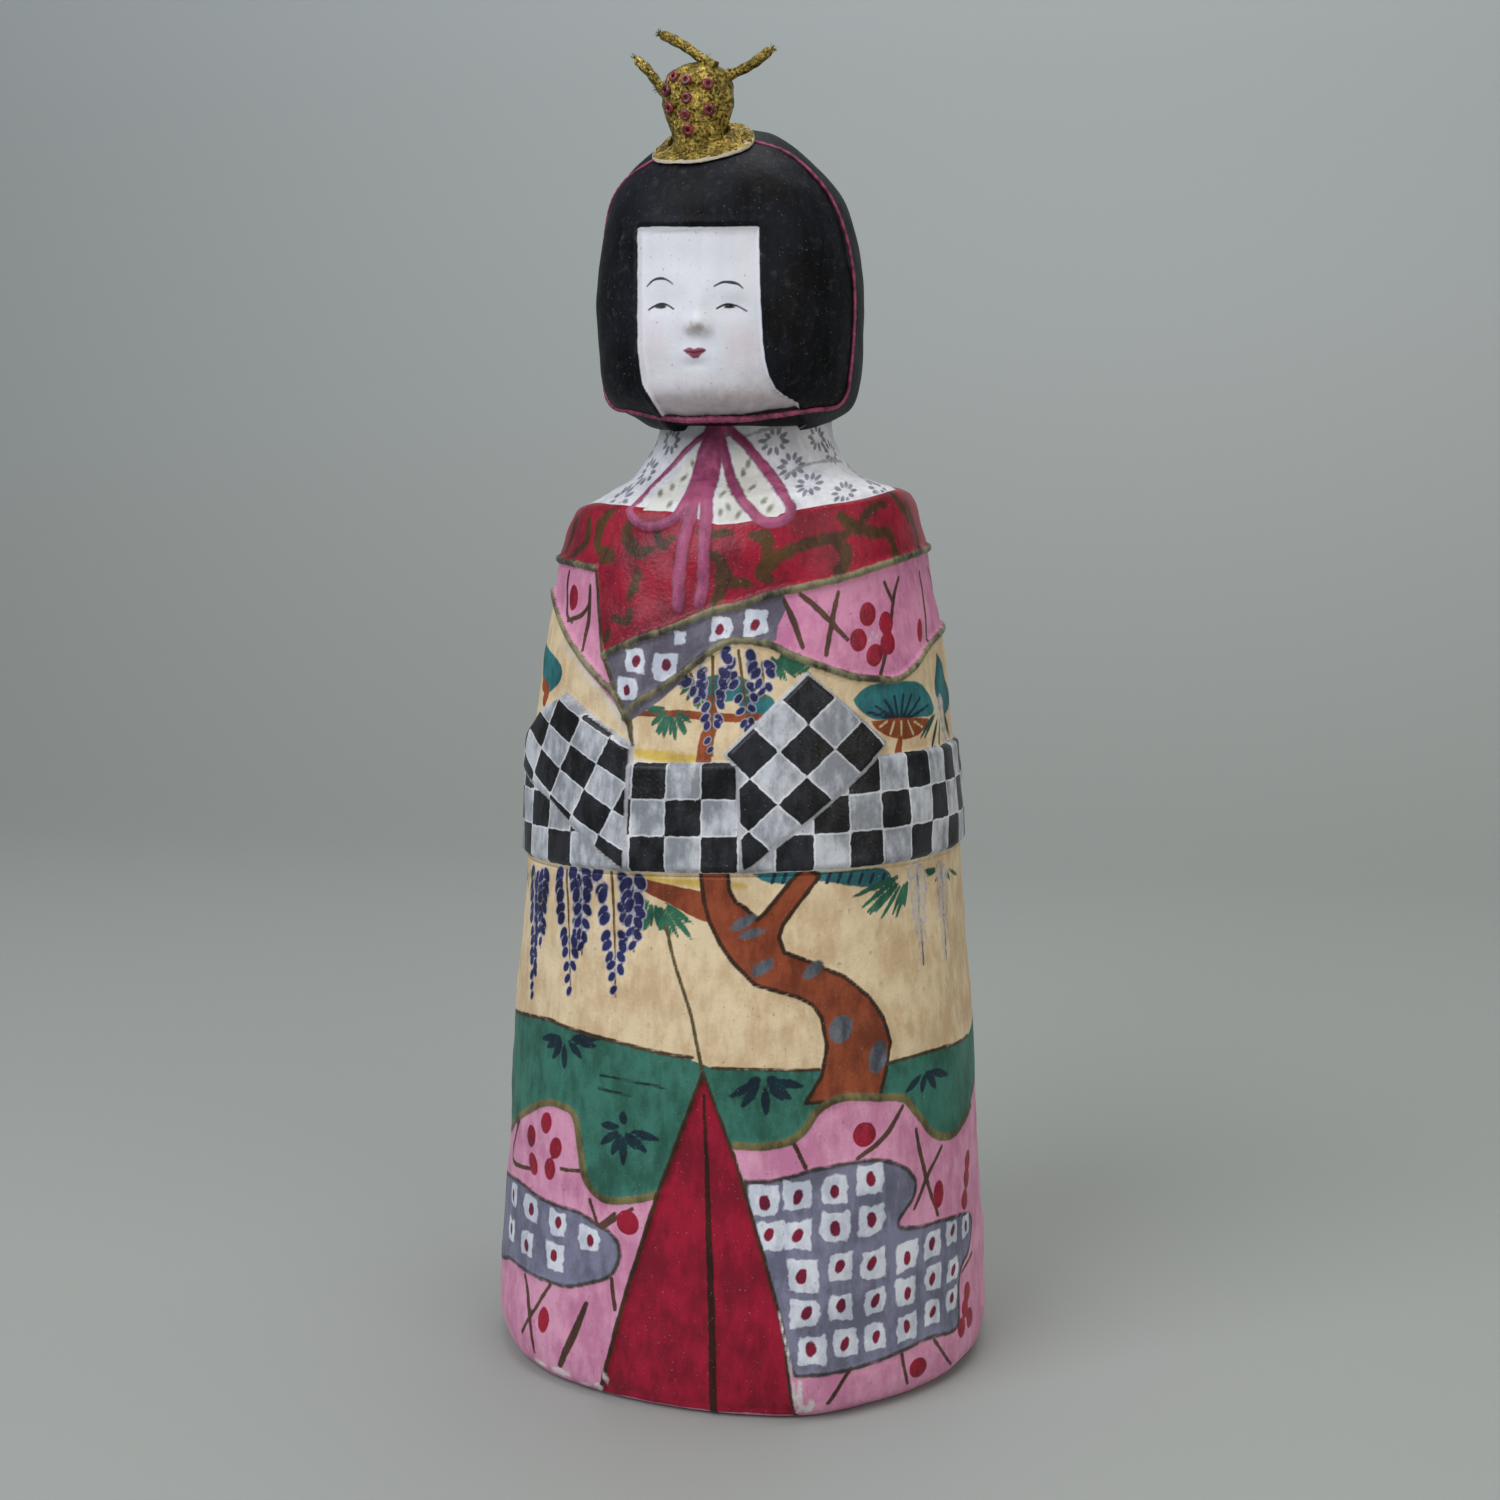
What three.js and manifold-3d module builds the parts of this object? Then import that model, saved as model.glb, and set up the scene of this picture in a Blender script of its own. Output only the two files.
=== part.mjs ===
// A standing court lady of moulded papier-mache, wearing a gilt crown.
// Millimetres, Z up. She faces -Y, and the origin is on the ground under the middle of her robe.
import * as THREE from 'three';
import { mergeVertices } from 'three/addons/utils/BufferGeometryUtils.js';
import Module from 'manifold-3d';

const wasm = await Module();
wasm.setup();

// Body, from the ground to the narrowest part of the neck
const robeHeight = 189;
const hemHalfWidth = 51.4;
const hemDepthShare = 0.89;
const shoulderDepthShare = 0.835;
const neckDepthShare = 0.94;
const neckSetBack = 2;
const robeSquareness = 2.2;
const shoulderTilt = 0.033;
const collarTilt = 0.03;
const goreHeight = 67;
const hemCornerBulge = 2.4;
const hemCornerDegrees = 25;
const hemCornerRise = 26;
const hemCornerFall = 11;
const goreApex = -3.2;
const goreLeft = -22.6;
const goreRight = 24;

// Head, hair included
const headHeight = 59.4;
const headHalfWidth = 26.2;
const headDepthShare = 1.04;
const headTopDepthShare = 1.14;
const headSquareness = 2.3;
const headOffset = new THREE.Vector2(-1.2, -4.5);
const chinDrop = 2.4;
const jawLift = 1.2;
const jawHeight = 22;

// Face, set into a square opening in the hair
const faceInset = 1.1;
const windowHalfWidth = 12.1;
const windowTopShare = 0.625;
const windowCornerShare = 0.17;
const windowFootShare = 0.045;
const cheekFlare = 4.2;
const noseHeight = 1.7;
const noseHalfWidth = 2.5;
const noseShare = 0.312;

// Layers of cloth and their edges, laid over the body
const sashBottom = 103.8;
const sashTop = 124.6;
const clothThickness = 1.2;
const sleeveThickness = 1.6;
const recessDepth = 0.7;
const pipingRadius = 0.85;
const pipingLift = 0.21;
const cordRadius = 0.65;
const cordLift = 0.1;

// Crown
const crownCentre = new THREE.Vector2(-3.8, -19.5);
const crownHalfWidth = 7;
const crownHalfDepth = 5.6;
const crownHeight = 17.2;
const crownSink = 3.8;
const flangeCentre = new THREE.Vector2(-2.6, -20.5);
const flangeHalfWidth = 9.9;
const flangeHalfDepth = 6.8;
const flangeThickness = 0.8;
const prongRadius = 1.05;
const prongSeat = 2.2;
const beadRadius = 1.15;
const beadTube = 0.42;
const glueGap = 0.3;

// How finely round shapes are faceted
const robeSides = 48;
const headSides = 36;
const crownSides = 20;
const rodSides = 8;
const rodSteps = 7;
const pipingSides = 5;
const innerPipingSteps = 36;
const outerPipingSteps = 54;
const cordSteps = 24;
const beadSides = 9;
const beadTubeSides = 5;

const gofunCream = { color: 0xe3cda3, roughness: 0.62, metalness: 0 };
const giltPaint = { color: 0xa88a3c, roughness: 0.38, metalness: 0.75 };
const giltPaperCord = { color: 0x9c7f38, roughness: 0.45, metalness: 0.7 };
const rosePinkGlass = { color: 0xa83a5c, roughness: 0.25, metalness: 0 };

const radians = THREE.MathUtils.degToRad;
const { lerp, smoothstep } = THREE.MathUtils;

// Outlines from bottom to top: share of the half width, share of the height
const robeOutline = new THREE.SplineCurve([
  [0.905, 0], [0.953, 0.004], [0.984, 0.013], [1, 0.034], [0.998, 0.07], [0.967, 0.212], [0.943, 0.317],
  [0.912, 0.423], [0.884, 0.503], [0.87, 0.582], [0.848, 0.646], [0.794, 0.767], [0.756, 0.82],
  [0.733, 0.862], [0.708, 0.885], [0.694, 0.9], [0.676, 0.912], [0.645, 0.922], [0.54, 0.935],
  [0.44, 0.95], [0.377, 0.974], [0.344, 1], [0.344, 1.05],
].map(([width, height]) => new THREE.Vector2(width * hemHalfWidth, height * robeHeight)));

const hairOutline = new THREE.SplineCurve([
  [0.46, 0], [0.6, 0.01], [0.71, 0.038], [0.9, 0.09], [0.967, 0.175], [0.99, 0.27], [1, 0.42],
  [0.968, 0.59], [0.887, 0.73], [0.752, 0.83], [0.55, 0.92], [0.39, 0.967], [0.2, 0.993], [0.04, 0.999],
].map(([width, height]) => new THREE.Vector2(width * headHalfWidth, height * headHeight)));

const crownOutline = new THREE.SplineCurve([
  [1.06, -0.2], [0.93, 0], [0.79, 0.12], [0.77, 0.2], [0.83, 0.3], [0.91, 0.4], [0.98, 0.5], [1, 0.6],
  [0.985, 0.72], [0.93, 0.83], [0.76, 0.92], [0.42, 0.985], [0.1, 1],
].map(([width, height]) => new THREE.Vector2(width * crownHalfWidth, height * crownHeight)));

// The closed lathe profile of an outline, through each of its points, capped flat at both ends
function capped(outline) {
  const { points } = outline;
  const bottom = new THREE.Vector2(0, points[0].y);
  const top = new THREE.Vector2(0, points[points.length - 1].y);
  return [bottom, ...points, top];
}

// Half width of an outline at a height, read between its sampled points
function widthAt(samples, height) {
  const above = samples.findIndex((point) => point.y >= height);
  if (above <= 0) return samples[above === 0 ? 0 : samples.length - 1].x;
  const [low, high] = [samples[above - 1], samples[above]];
  return lerp(low.x, high.x, (height - low.y) / (high.y - low.y));
}

// How far a squared oval reaches past a plain one, at an angle round it
function ovalReach(angle, squareness) {
  const sum = Math.abs(Math.cos(angle)) ** squareness + Math.abs(Math.sin(angle)) ** squareness;
  return sum ** (-1 / squareness);
}

const neckStart = 0.9 * robeHeight;
const tiltStart = 0.22 * robeHeight;
const tiltFull = 0.48 * robeHeight;
const collarStart = 0.78 * robeHeight;
const collarFull = 0.91 * robeHeight;

// The outer robe turns a soft corner where it meets the gore, most of all at the hem
function hemBulge(angle, height) {
  const past = THREE.MathUtils.radToDeg(angle) - hemCornerDegrees;
  const spread = past < 0 ? hemCornerRise : hemCornerFall;
  return hemCornerBulge * Math.exp(-((past / spread) ** 2)) * (1 - smoothstep(height, 0, goreHeight));
}

// A point of the body: the angle is 0 at the front and grows towards +X
function onRobe(angle, height, halfWidth) {
  const intoNeck = smoothstep(height, neckStart, robeHeight);
  const upBody = smoothstep(height, 0, neckStart);
  const depthShare = lerp(lerp(hemDepthShare, shoulderDepthShare, upBody), neckDepthShare, intoNeck);
  const reach = halfWidth * ovalReach(angle, robeSquareness) * (1 + hemBulge(angle, height) / hemHalfWidth);
  const x = reach * Math.sin(angle);
  const y = -reach * depthShare * Math.cos(angle) + neckSetBack * intoNeck;
  const tilt = shoulderTilt * smoothstep(height, tiltStart, tiltFull)
    + collarTilt * smoothstep(height, collarStart, collarFull);
  return new THREE.Vector3(x, y, height + tilt * (1 - intoNeck) * x);
}

const headBase = robeHeight - chinDrop;

// A point of the head, by angle and height above the chin; the jaw sits a little higher on her right
function onHead(angle, height, halfWidth) {
  const reach = halfWidth * ovalReach(angle, headSquareness);
  const x = reach * Math.sin(angle);
  const upHead = smoothstep(height, 0.5 * headHeight, 0.85 * headHeight);
  const depthShare = lerp(headDepthShare, headTopDepthShare, upHead);
  const lift = jawLift * (0.5 - x / (2 * headHalfWidth)) * (1 - smoothstep(height, 0, jawHeight));
  return new THREE.Vector3(
    headOffset.x + x,
    headOffset.y - reach * depthShare * Math.cos(angle),
    headBase + height + lift,
  );
}

// Turns a lathed profile into an oval one by placing each of its points again
function ovalLathe(profile, sides, place) {
  const geometry = new THREE.LatheGeometry(profile, sides);
  const position = geometry.attributes.position;
  for (let i = 0; i < position.count; i += 1) {
    const [x, height, z] = [position.getX(i), position.getY(i), position.getZ(i)];
    const point = place(Math.atan2(x, z), height, Math.hypot(x, z));
    position.setXYZ(i, point.x, point.y, point.z);
  }
  return geometry;
}

// A closed geometry as a solid that can be joined and cut
function solid(geometry) {
  const bare = geometry.clone();
  bare.deleteAttribute('normal');
  bare.deleteAttribute('uv');
  const merged = mergeVertices(bare, 1e-4);
  const corners = [];
  for (let i = 0; i < merged.index.count; i += 3) {
    const [a, b, c] = [0, 1, 2].map((corner) => merged.index.getX(i + corner));
    if (a !== b && b !== c && c !== a) corners.push(a, b, c);
  }
  return new wasm.Manifold(new wasm.Mesh({
    numProp: 3,
    vertProperties: Float32Array.from(merged.attributes.position.array),
    triVerts: Uint32Array.from(corners),
  }));
}

function geometryOf(manifold) {
  const { vertProperties, triVerts } = manifold.getMesh();
  const geometry = new THREE.BufferGeometry();
  geometry.setAttribute('position', new THREE.BufferAttribute(Float32Array.from(vertProperties), 3));
  geometry.setIndex(new THREE.BufferAttribute(Uint32Array.from(triVerts), 1));
  geometry.computeVertexNormals();
  return geometry;
}

const robeSamples = robeOutline.getPoints(200);
const robeWidth = (height) => widthAt(robeSamples, height);

// The body from one height to another, grown or shrunk by a layer of cloth
function robeLayer(growth, from, to) {
  const between = robeOutline.points.map((point) => point.y).filter((y) => y > from && y < to);
  const profile = [from, ...between, to].map((y) => new THREE.Vector2(robeWidth(y) + growth, y));
  profile.unshift(new THREE.Vector2(0, from));
  profile.push(new THREE.Vector2(0, to));
  return solid(ovalLathe(profile, robeSides, onRobe));
}

// A rod of round section along a list of points
function rod(points, radius, sides, steps) {
  const section = new THREE.Shape();
  for (let i = 0; i < sides; i += 1) {
    const angle = (2 * Math.PI * i) / sides;
    const [x, y] = [radius * Math.cos(angle), radius * Math.sin(angle)];
    if (i === 0) section.moveTo(x, y);
    else section.lineTo(x, y);
  }
  section.closePath();
  const path = new THREE.CatmullRomCurve3(points);
  return new THREE.ExtrudeGeometry(section, { steps, bevelEnabled: false, extrudePath: path });
}

// Points on a surface along a smooth route through pairs of [degrees round, share of the height]
function along(route, steps, place) {
  const stops = route.map(([degrees, share]) => new THREE.Vector2(degrees, 100 * share));
  const stations = new THREE.SplineCurve(stops).getSpacedPoints(steps);
  return stations.map(({ x, y }) => place(radians(x), y / 100));
}

// A raised line on the cloth
function robePiping(route, steps) {
  const place = (angle, share) =>
    onRobe(angle, share * robeHeight, robeWidth(share * robeHeight) + pipingLift);
  return solid(rod(along(route, steps, place), pipingRadius, pipingSides, steps));
}

// A prism that runs from the front to the middle of the body, from an outline seen from the front
function frontPrism(outline) {
  const shape = new THREE.Shape(outline.map(([x, z]) => new THREE.Vector2(x, z)));
  const reach = 2 * hemHalfWidth;
  const prism = new THREE.ExtrudeGeometry(shape, { depth: reach, bevelEnabled: false });
  prism.rotateX(Math.PI / 2);
  return solid(prism);
}

// Sash all round the waist, and the two folded sleeve tips that lie over it
function sashAndSleeves() {
  const sash = robeLayer(clothThickness, sashBottom, sashTop);
  const sleeveLayer = robeLayer(sleeveThickness, sashBottom + glueGap, sashTop + 20);
  const rightSleeve = frontPrism([
    [-43, sashTop - 2], [-31, sashTop + 12], [-20.2, sashTop + 7], [-12.8, sashTop + 2.4],
    [-13.1, sashBottom], [-13.7, sashBottom], [-26, sashBottom + 8.4], [-34, sashBottom + 14],
  ]);
  const leftSleeve = frontPrism([
    [8.4, sashBottom], [8.3, sashTop - 1.7], [4.5, sashTop + 1.4], [20.2, sashTop + 16.5],
    [34, sashTop + 3.3], [21.8, sashBottom + 11.1], [11.5, sashBottom + 2], [10, sashBottom],
  ]);
  return sash.add(sleeveLayer.intersect(rightSleeve.add(leftSleeve)));
}

// Gilt edges of the crossed collars, in degrees round from the front and shares of the height
function collarPipings() {
  const innerEdge = [
    [-28, 0.766], [-18.4, 0.781], [-9.4, 0.791], [2.3, 0.808], [11, 0.814], [19.5, 0.823], [28, 0.828],
    [41, 0.836], [52, 0.844], [67, 0.852], [90, 0.858], [130, 0.862], [180, 0.864], [230, 0.866],
    [270, 0.867], [290, 0.868], [310, 0.863], [324, 0.856],
  ];
  const outerEdge = [
    [-20.2, 0.703], [-17, 0.719], [-11.3, 0.731], [-4.2, 0.749], [1.3, 0.765], [6.8, 0.777], [11, 0.779],
    [19, 0.774], [24.6, 0.763], [38.5, 0.742], [48, 0.735], [55.3, 0.733], [62.4, 0.742], [72.5, 0.759],
    [88, 0.773], [130, 0.79], [180, 0.8], [230, 0.815], [270, 0.828], [290, 0.832], [299, 0.818],
    [314, 0.786], [324.3, 0.76], [332, 0.739], [337, 0.724], [340.2, 0.703],
  ];
  return robePiping(innerEdge, innerPipingSteps).add(robePiping(outerEdge, outerPipingSteps));
}

// The narrow gore at the front hem, where the outer robe parts over the red underskirt
function hemGore() {
  const below = -5;
  const gore = frontPrism([[goreLeft, below], [goreRight, below], [goreApex, goreHeight]]);
  const kept = robeLayer(-recessDepth, below, 1.1 * goreHeight);
  return gore.subtract(kept);
}

function hair(growth) {
  const scale = 1 + growth / headHalfWidth;
  const middle = headHeight / 2;
  const place = (angle, height, halfWidth) =>
    onHead(angle, middle + (height - middle) * scale, halfWidth * scale);
  return solid(ovalLathe(capped(hairOutline), headSides, place));
}

// The opening in the hair: square above, and flaring over the jaw
function faceWindow() {
  const at = (share) => headBase + share * headHeight;
  const side = windowHalfWidth;
  const outline = [
    [side, at(windowTopShare)], [-side, at(windowTopShare)],
    [-side, at(windowCornerShare)], [-side + 2.2, at(windowFootShare + 0.05)],
    [-side + cheekFlare, at(-0.05)], [side + cheekFlare, at(-0.05)],
    [side + cheekFlare, at(windowFootShare)], [side + 1, at(windowCornerShare)],
  ];
  const prism = frontPrism(outline.map(([x, z]) => [x + headOffset.x, z]));
  const size = 4 * headHeight;
  const inFront = -size / 2 - headHalfWidth / 3;
  return prism.intersect(solid(new THREE.BoxGeometry(size, size, size).translate(0, inFront, headBase)));
}

function face() {
  const skin = hair(-faceInset);
  const noseAt = headBase + noseShare * headHeight;
  const front = headOffset.y - headHalfWidth * headDepthShare + faceInset;
  const nose = new THREE.SphereGeometry(1, 10, 7);
  nose.scale(noseHalfWidth, noseHeight + 1, noseHalfWidth * 1.5);
  nose.translate(headOffset.x, front + 1, noseAt);
  return skin.add(solid(nose));
}

const hairSamples = hairOutline.getPoints(120);

// Cord from the crown down both sides of the head, along the jaw and knotted under the chin
function chinCord(growth) {
  const place = (angle, share) => {
    const height = share * headHeight;
    return onHead(angle, height, widthAt(hairSamples, height) + cordLift);
  };
  const herLeft = [
    [22, 0.925], [35, 0.908], [54, 0.875], [67, 0.774], [73.5, 0.653], [78, 0.5], [77.5, 0.31],
    [77, 0.2], [78, 0.13], [73, 0.085], [58, 0.069], [40, 0.048], [22, 0.033], [0, 0.03],
  ];
  const herRight = [
    [-24, 0.9], [-36, 0.853], [-50, 0.818], [-62, 0.77], [-76, 0.68], [-84, 0.5], [-84, 0.31],
    [-80, 0.17], [-70, 0.08], [-49, 0.059], [-32, 0.038], [-15, 0.028], [0, 0.03],
  ];
  const strand = (route) =>
    solid(rod(along(route, cordSteps, place), cordRadius + growth, pipingSides, cordSteps));
  return strand(herLeft).add(strand(herRight));
}

// The whole moulding: body, clothes, head and hair in one piece
function figure() {
  const body = solid(ovalLathe(capped(robeOutline), robeSides, onRobe));
  const head = hair(0).subtract(faceWindow()).add(face());
  return body
    .subtract(hemGore())
    .add(sashAndSleeves())
    .add(collarPipings())
    .add(head)
    .add(chinCord(0));
}

const hairTopAt = (x, y) => {
  const [across, deep] = [x - headOffset.x, (y - headOffset.y) / headTopDepthShare];
  const reach = Math.hypot(across, deep) / headHalfWidth;
  const above = hairSamples.filter((point) => point.y > 0.5 * headHeight);
  const found = above.find((point) => point.x / headHalfWidth <= reach);
  return headBase + (found ?? above[above.length - 1]).y;
};
const crownFoot = hairTopAt(crownCentre.x, crownCentre.y) - crownSink;

// A point of the crown's cup, by angle and height above its foot
function onCrown(angle, height, halfWidth) {
  return new THREE.Vector3(
    crownCentre.x + halfWidth * Math.sin(angle),
    crownCentre.y - halfWidth * (crownHalfDepth / crownHalfWidth) * Math.cos(angle),
    crownFoot + height,
  );
}

const crownSamples = crownOutline.getPoints(120);
const crownWidth = (height) => widthAt(crownSamples, height);

// Each prong leaves the crown at an angle and a share of its height, and reaches out by a vector
const prongs = {
  prong_left: { degrees: -82, share: 0.73, reach: [-5.6, 0.2, 6.3], bend: 0.4 },
  prong_middle: { degrees: 38, share: 0.97, reach: [-9.7, 1.2, 6.2], bend: 0.5 },
  prong_right: { degrees: 88, share: 0.85, reach: [8.4, -0.6, 4.3], bend: -0.5 },
};

function prong({ degrees, share, reach, bend }, radius) {
  const height = share * crownHeight;
  const root = onCrown(radians(degrees), height, crownWidth(height));
  const way = new THREE.Vector3(...reach);
  const seat = root.clone().addScaledVector(way.clone().normalize(), -prongSeat);
  const middle = root.clone().addScaledVector(way, 0.5).add(new THREE.Vector3(0, 0, bend));
  return rod([seat, root, middle, root.clone().add(way)], radius, rodSides, rodSteps);
}

// Beads glued to the front of the cup, in degrees round from its front and shares of its height
const beads = [
  [-30, 0.8], [-46, 0.67], [-7, 0.75], [27, 0.7], [-6, 0.56], [-40, 0.48], [30, 0.44], [-10, 0.39],
  [-8, 0.24],
];

function bead([degrees, share]) {
  const angle = radians(degrees);
  const height = share * crownHeight;
  const skin = onCrown(angle, height, crownWidth(height));
  const beside = onCrown(angle + 0.05, height, crownWidth(height)).sub(skin);
  const above = onCrown(angle, height + 0.5, crownWidth(height + 0.5)).sub(skin);
  const outward = beside.cross(above).normalize();
  const ring = new THREE.TorusGeometry(beadRadius - beadTube, beadTube, beadTubeSides, beadSides);
  ring.applyQuaternion(new THREE.Quaternion().setFromUnitVectors(new THREE.Vector3(0, 0, 1), outward));
  const centre = skin.addScaledVector(outward, beadTube + glueGap);
  return { ring, centre };
}

// The cup, and a flange that hugs the hair under it, with a seat for each prong
function crown() {
  const cup = solid(ovalLathe(capped(crownOutline), crownSides, onCrown));
  const post = new THREE.CylinderGeometry(1, 1, 3 * crownHeight, crownSides);
  post.rotateX(Math.PI / 2);
  post.scale(flangeHalfWidth, flangeHalfDepth, 1);
  post.translate(flangeCentre.x, flangeCentre.y, crownFoot + crownHeight);
  const flange = solid(post).intersect(hair(glueGap + flangeThickness));
  let piece = cup.add(flange).subtract(hair(glueGap)).subtract(chinCord(glueGap));
  for (const each of Object.values(prongs)) {
    piece = piece.subtract(solid(prong(each, prongRadius + glueGap)));
  }
  return piece;
}

function mesh(name, geometry, finish) {
  const made = new THREE.Mesh(geometry, new THREE.MeshStandardMaterial(finish));
  made.name = name;
  return made;
}

const doll = new THREE.Group();
doll.add(mesh('figure', geometryOf(figure()), gofunCream));
doll.add(mesh('crown', geometryOf(crown()), giltPaint));
for (const [name, each] of Object.entries(prongs)) {
  doll.add(mesh(name, prong(each, prongRadius), giltPaperCord));
}
beads.forEach((place, index) => {
  const { ring, centre } = bead(place);
  const made = mesh(`bead_${index + 1}`, ring, rosePinkGlass);
  made.position.copy(centre);
  doll.add(made);
});

export default doll;
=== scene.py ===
import math
import bpy
import numpy as np
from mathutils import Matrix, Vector


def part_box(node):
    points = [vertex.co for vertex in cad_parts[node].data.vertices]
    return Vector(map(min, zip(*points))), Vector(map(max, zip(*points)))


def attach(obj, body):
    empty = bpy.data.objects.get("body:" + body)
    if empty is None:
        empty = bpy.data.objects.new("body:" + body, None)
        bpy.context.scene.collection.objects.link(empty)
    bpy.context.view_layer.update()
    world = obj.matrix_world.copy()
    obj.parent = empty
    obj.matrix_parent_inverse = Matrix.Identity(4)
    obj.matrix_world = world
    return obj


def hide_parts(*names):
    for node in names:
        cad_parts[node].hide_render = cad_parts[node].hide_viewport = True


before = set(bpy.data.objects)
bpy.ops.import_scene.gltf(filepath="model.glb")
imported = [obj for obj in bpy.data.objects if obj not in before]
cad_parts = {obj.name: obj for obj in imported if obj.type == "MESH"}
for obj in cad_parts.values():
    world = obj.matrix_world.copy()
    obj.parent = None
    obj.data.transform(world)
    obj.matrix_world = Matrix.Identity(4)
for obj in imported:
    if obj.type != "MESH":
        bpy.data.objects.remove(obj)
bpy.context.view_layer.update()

# A court lady of papier-mache, painted by hand over a white ground.
# Shapes are worked out in millimetres and turned to metres when a mesh is made.
mm = 0.001
print("frame loaded")


def ease(value, low, high):
    t = np.clip((value - low) / (high - low), 0, 1)
    return t * t * (3 - 2 * t)


def signed(degrees):
    return (degrees + 180) % 360 - 180


def towards(degrees):
    # a step of one, turned from upright to the right
    return np.array([math.sin(math.radians(degrees)), math.cos(math.radians(degrees))])


def curveThrough(points, steps=24):
    p = np.array(points, float)
    p = np.vstack([p[:1], p, p[-1:]])
    t = np.linspace(0, 1, steps, endpoint=False)[:, None]
    parts = []
    for a, b, c, d in zip(p, p[1:], p[2:], p[3:]):
        before, after = (c - a) / 2, (d - b) / 2
        cubic = (2 * b - 2 * c + before + after) * t**3
        parts.append(cubic + (3 * c - 3 * b - 2 * before - after) * t**2 + before * t + b)
    return np.vstack([*parts, p[-1:]])


# Form of the body, as in the solid: shares of the half width and of the height
robeForm = {"height": 189, "halfWidth": 51.4, "hemDepth": 0.89, "shoulderDepth": 0.835, "neckDepth": 0.94,
    "neckBack": 2, "squareness": 2.2, "tilt": 0.033, "collarTilt": 0.03, "goreHeight": 67,
    "cornerBulge": 2.4, "cornerDegrees": 25, "cornerSpread": (26, 11), "sashLow": 103.8, "sashHigh": 124.6,
    "neckFrom": 0.9, "tiltFrom": 0.22, "tiltTo": 0.48, "collarFrom": 0.78, "collarTo": 0.91,
    "flatShare": 0.94}
robeOutline = curveThrough([
    (0.905, 0), (0.953, 0.004), (0.984, 0.013), (1, 0.034), (0.998, 0.07), (0.967, 0.212),
    (0.943, 0.317), (0.912, 0.423), (0.884, 0.503), (0.87, 0.582), (0.848, 0.646), (0.794, 0.767),
    (0.756, 0.82), (0.733, 0.862), (0.708, 0.885), (0.694, 0.9), (0.676, 0.912), (0.645, 0.922),
    (0.54, 0.935), (0.44, 0.95), (0.377, 0.974), (0.344, 1), (0.344, 1.05),
]) * [robeForm["halfWidth"], robeForm["height"]]

headForm = {
    "height": 59.4, "halfWidth": 26.2, "depth": 1.04, "topDepth": 1.14, "squareness": 2.3,
    "centre": (-1.2, -4.5), "base": 186.6, "jawLift": 1.2, "jawHeight": 22, "faceInset": 1.1,
    "topFrom": 0.5, "topTo": 0.85,
}
headOutline = curveThrough([
    (0.46, 0), (0.6, 0.01), (0.71, 0.038), (0.9, 0.09), (0.967, 0.175), (0.99, 0.27), (1, 0.42),
    (0.968, 0.59), (0.887, 0.73), (0.752, 0.83), (0.55, 0.92), (0.39, 0.967), (0.2, 0.993), (0.04, 0.999),
]) * [headForm["halfWidth"], headForm["height"]]


def robeWidth(z):
    return np.interp(z, robeOutline[:, 1], robeOutline[:, 0])


def headWidth(z):
    return np.interp(z - headForm["base"], headOutline[:, 1], headOutline[:, 0])


def robeShares(degrees, z):
    f = robeForm
    neck = ease(z, f["neckFrom"] * f["height"], f["height"])
    body = f["hemDepth"] + (f["shoulderDepth"] - f["hemDepth"]) * ease(z, 0, f["neckFrom"] * f["height"])
    depth = body + (f["neckDepth"] - body) * neck
    past = signed(degrees) - f["cornerDegrees"]
    bulge = f["cornerBulge"] * np.exp(-((past / np.where(past < 0, *f["cornerSpread"])) ** 2))
    wider = 1 + bulge * (1 - ease(z, 0, f["goreHeight"])) / f["halfWidth"]
    tilt = f["tilt"] * ease(z, f["tiltFrom"] * f["height"], f["tiltTo"] * f["height"])
    tilt = tilt + f["collarTilt"] * ease(z, f["collarFrom"] * f["height"], f["collarTo"] * f["height"])
    return depth, f["neckBack"] * neck, wider, tilt * (1 - neck)


def oval(degrees, squareness):
    a = np.radians(degrees)
    reach = (np.abs(np.cos(a)) ** squareness + np.abs(np.sin(a)) ** squareness) ** (-1 / squareness)
    return reach * np.sin(a), reach * np.cos(a)


def robePoint(degrees, z, grow=0.0):
    depth, back, wider, tilt = robeShares(degrees, z)
    side, front = oval(degrees, robeForm["squareness"])
    reach = (robeWidth(z) + grow) * wider
    x = reach * side
    return np.stack([x, back - reach * depth * front, z + tilt * x], -1)


def headShares(across, z):
    # how deep the head is for its width, and how far the jaw is lifted on the figure's right
    f, up = headForm, z - headForm["base"]
    upper = ease(up, f["topFrom"] * f["height"], f["topTo"] * f["height"])
    depth = f["depth"] + (f["topDepth"] - f["depth"]) * upper
    return depth, f["jawLift"] * (0.5 - across / (2 * f["halfWidth"])) * (1 - ease(up, 0, f["jawHeight"]))


def headPoint(degrees, width, z):
    side, front = oval(degrees, headForm["squareness"])
    across = width * side
    depth, lift = headShares(across, z)
    x = headForm["centre"][0] + across
    return np.stack([x, headForm["centre"][1] - width * depth * front, z + lift], -1)


# The photo's camera, found from the outline of the robe, the hem's curve and the sash
view = {"pixels": 1500, "focal": 1900, "place": (94.35, -378.42, 169), "heading": 13.789, "down": 6.76,
        "near": 300, "far": 450, "step": 0.25}
heading, down = math.radians(view["heading"]), math.radians(view["down"])
forward = np.array([-math.sin(heading) * math.cos(down), math.cos(heading) * math.cos(down),
    -math.sin(down)])
sideways = np.cross(forward, [0, 0, 1])
sideways /= np.linalg.norm(sideways)
upwards = np.cross(sideways, forward)

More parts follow.
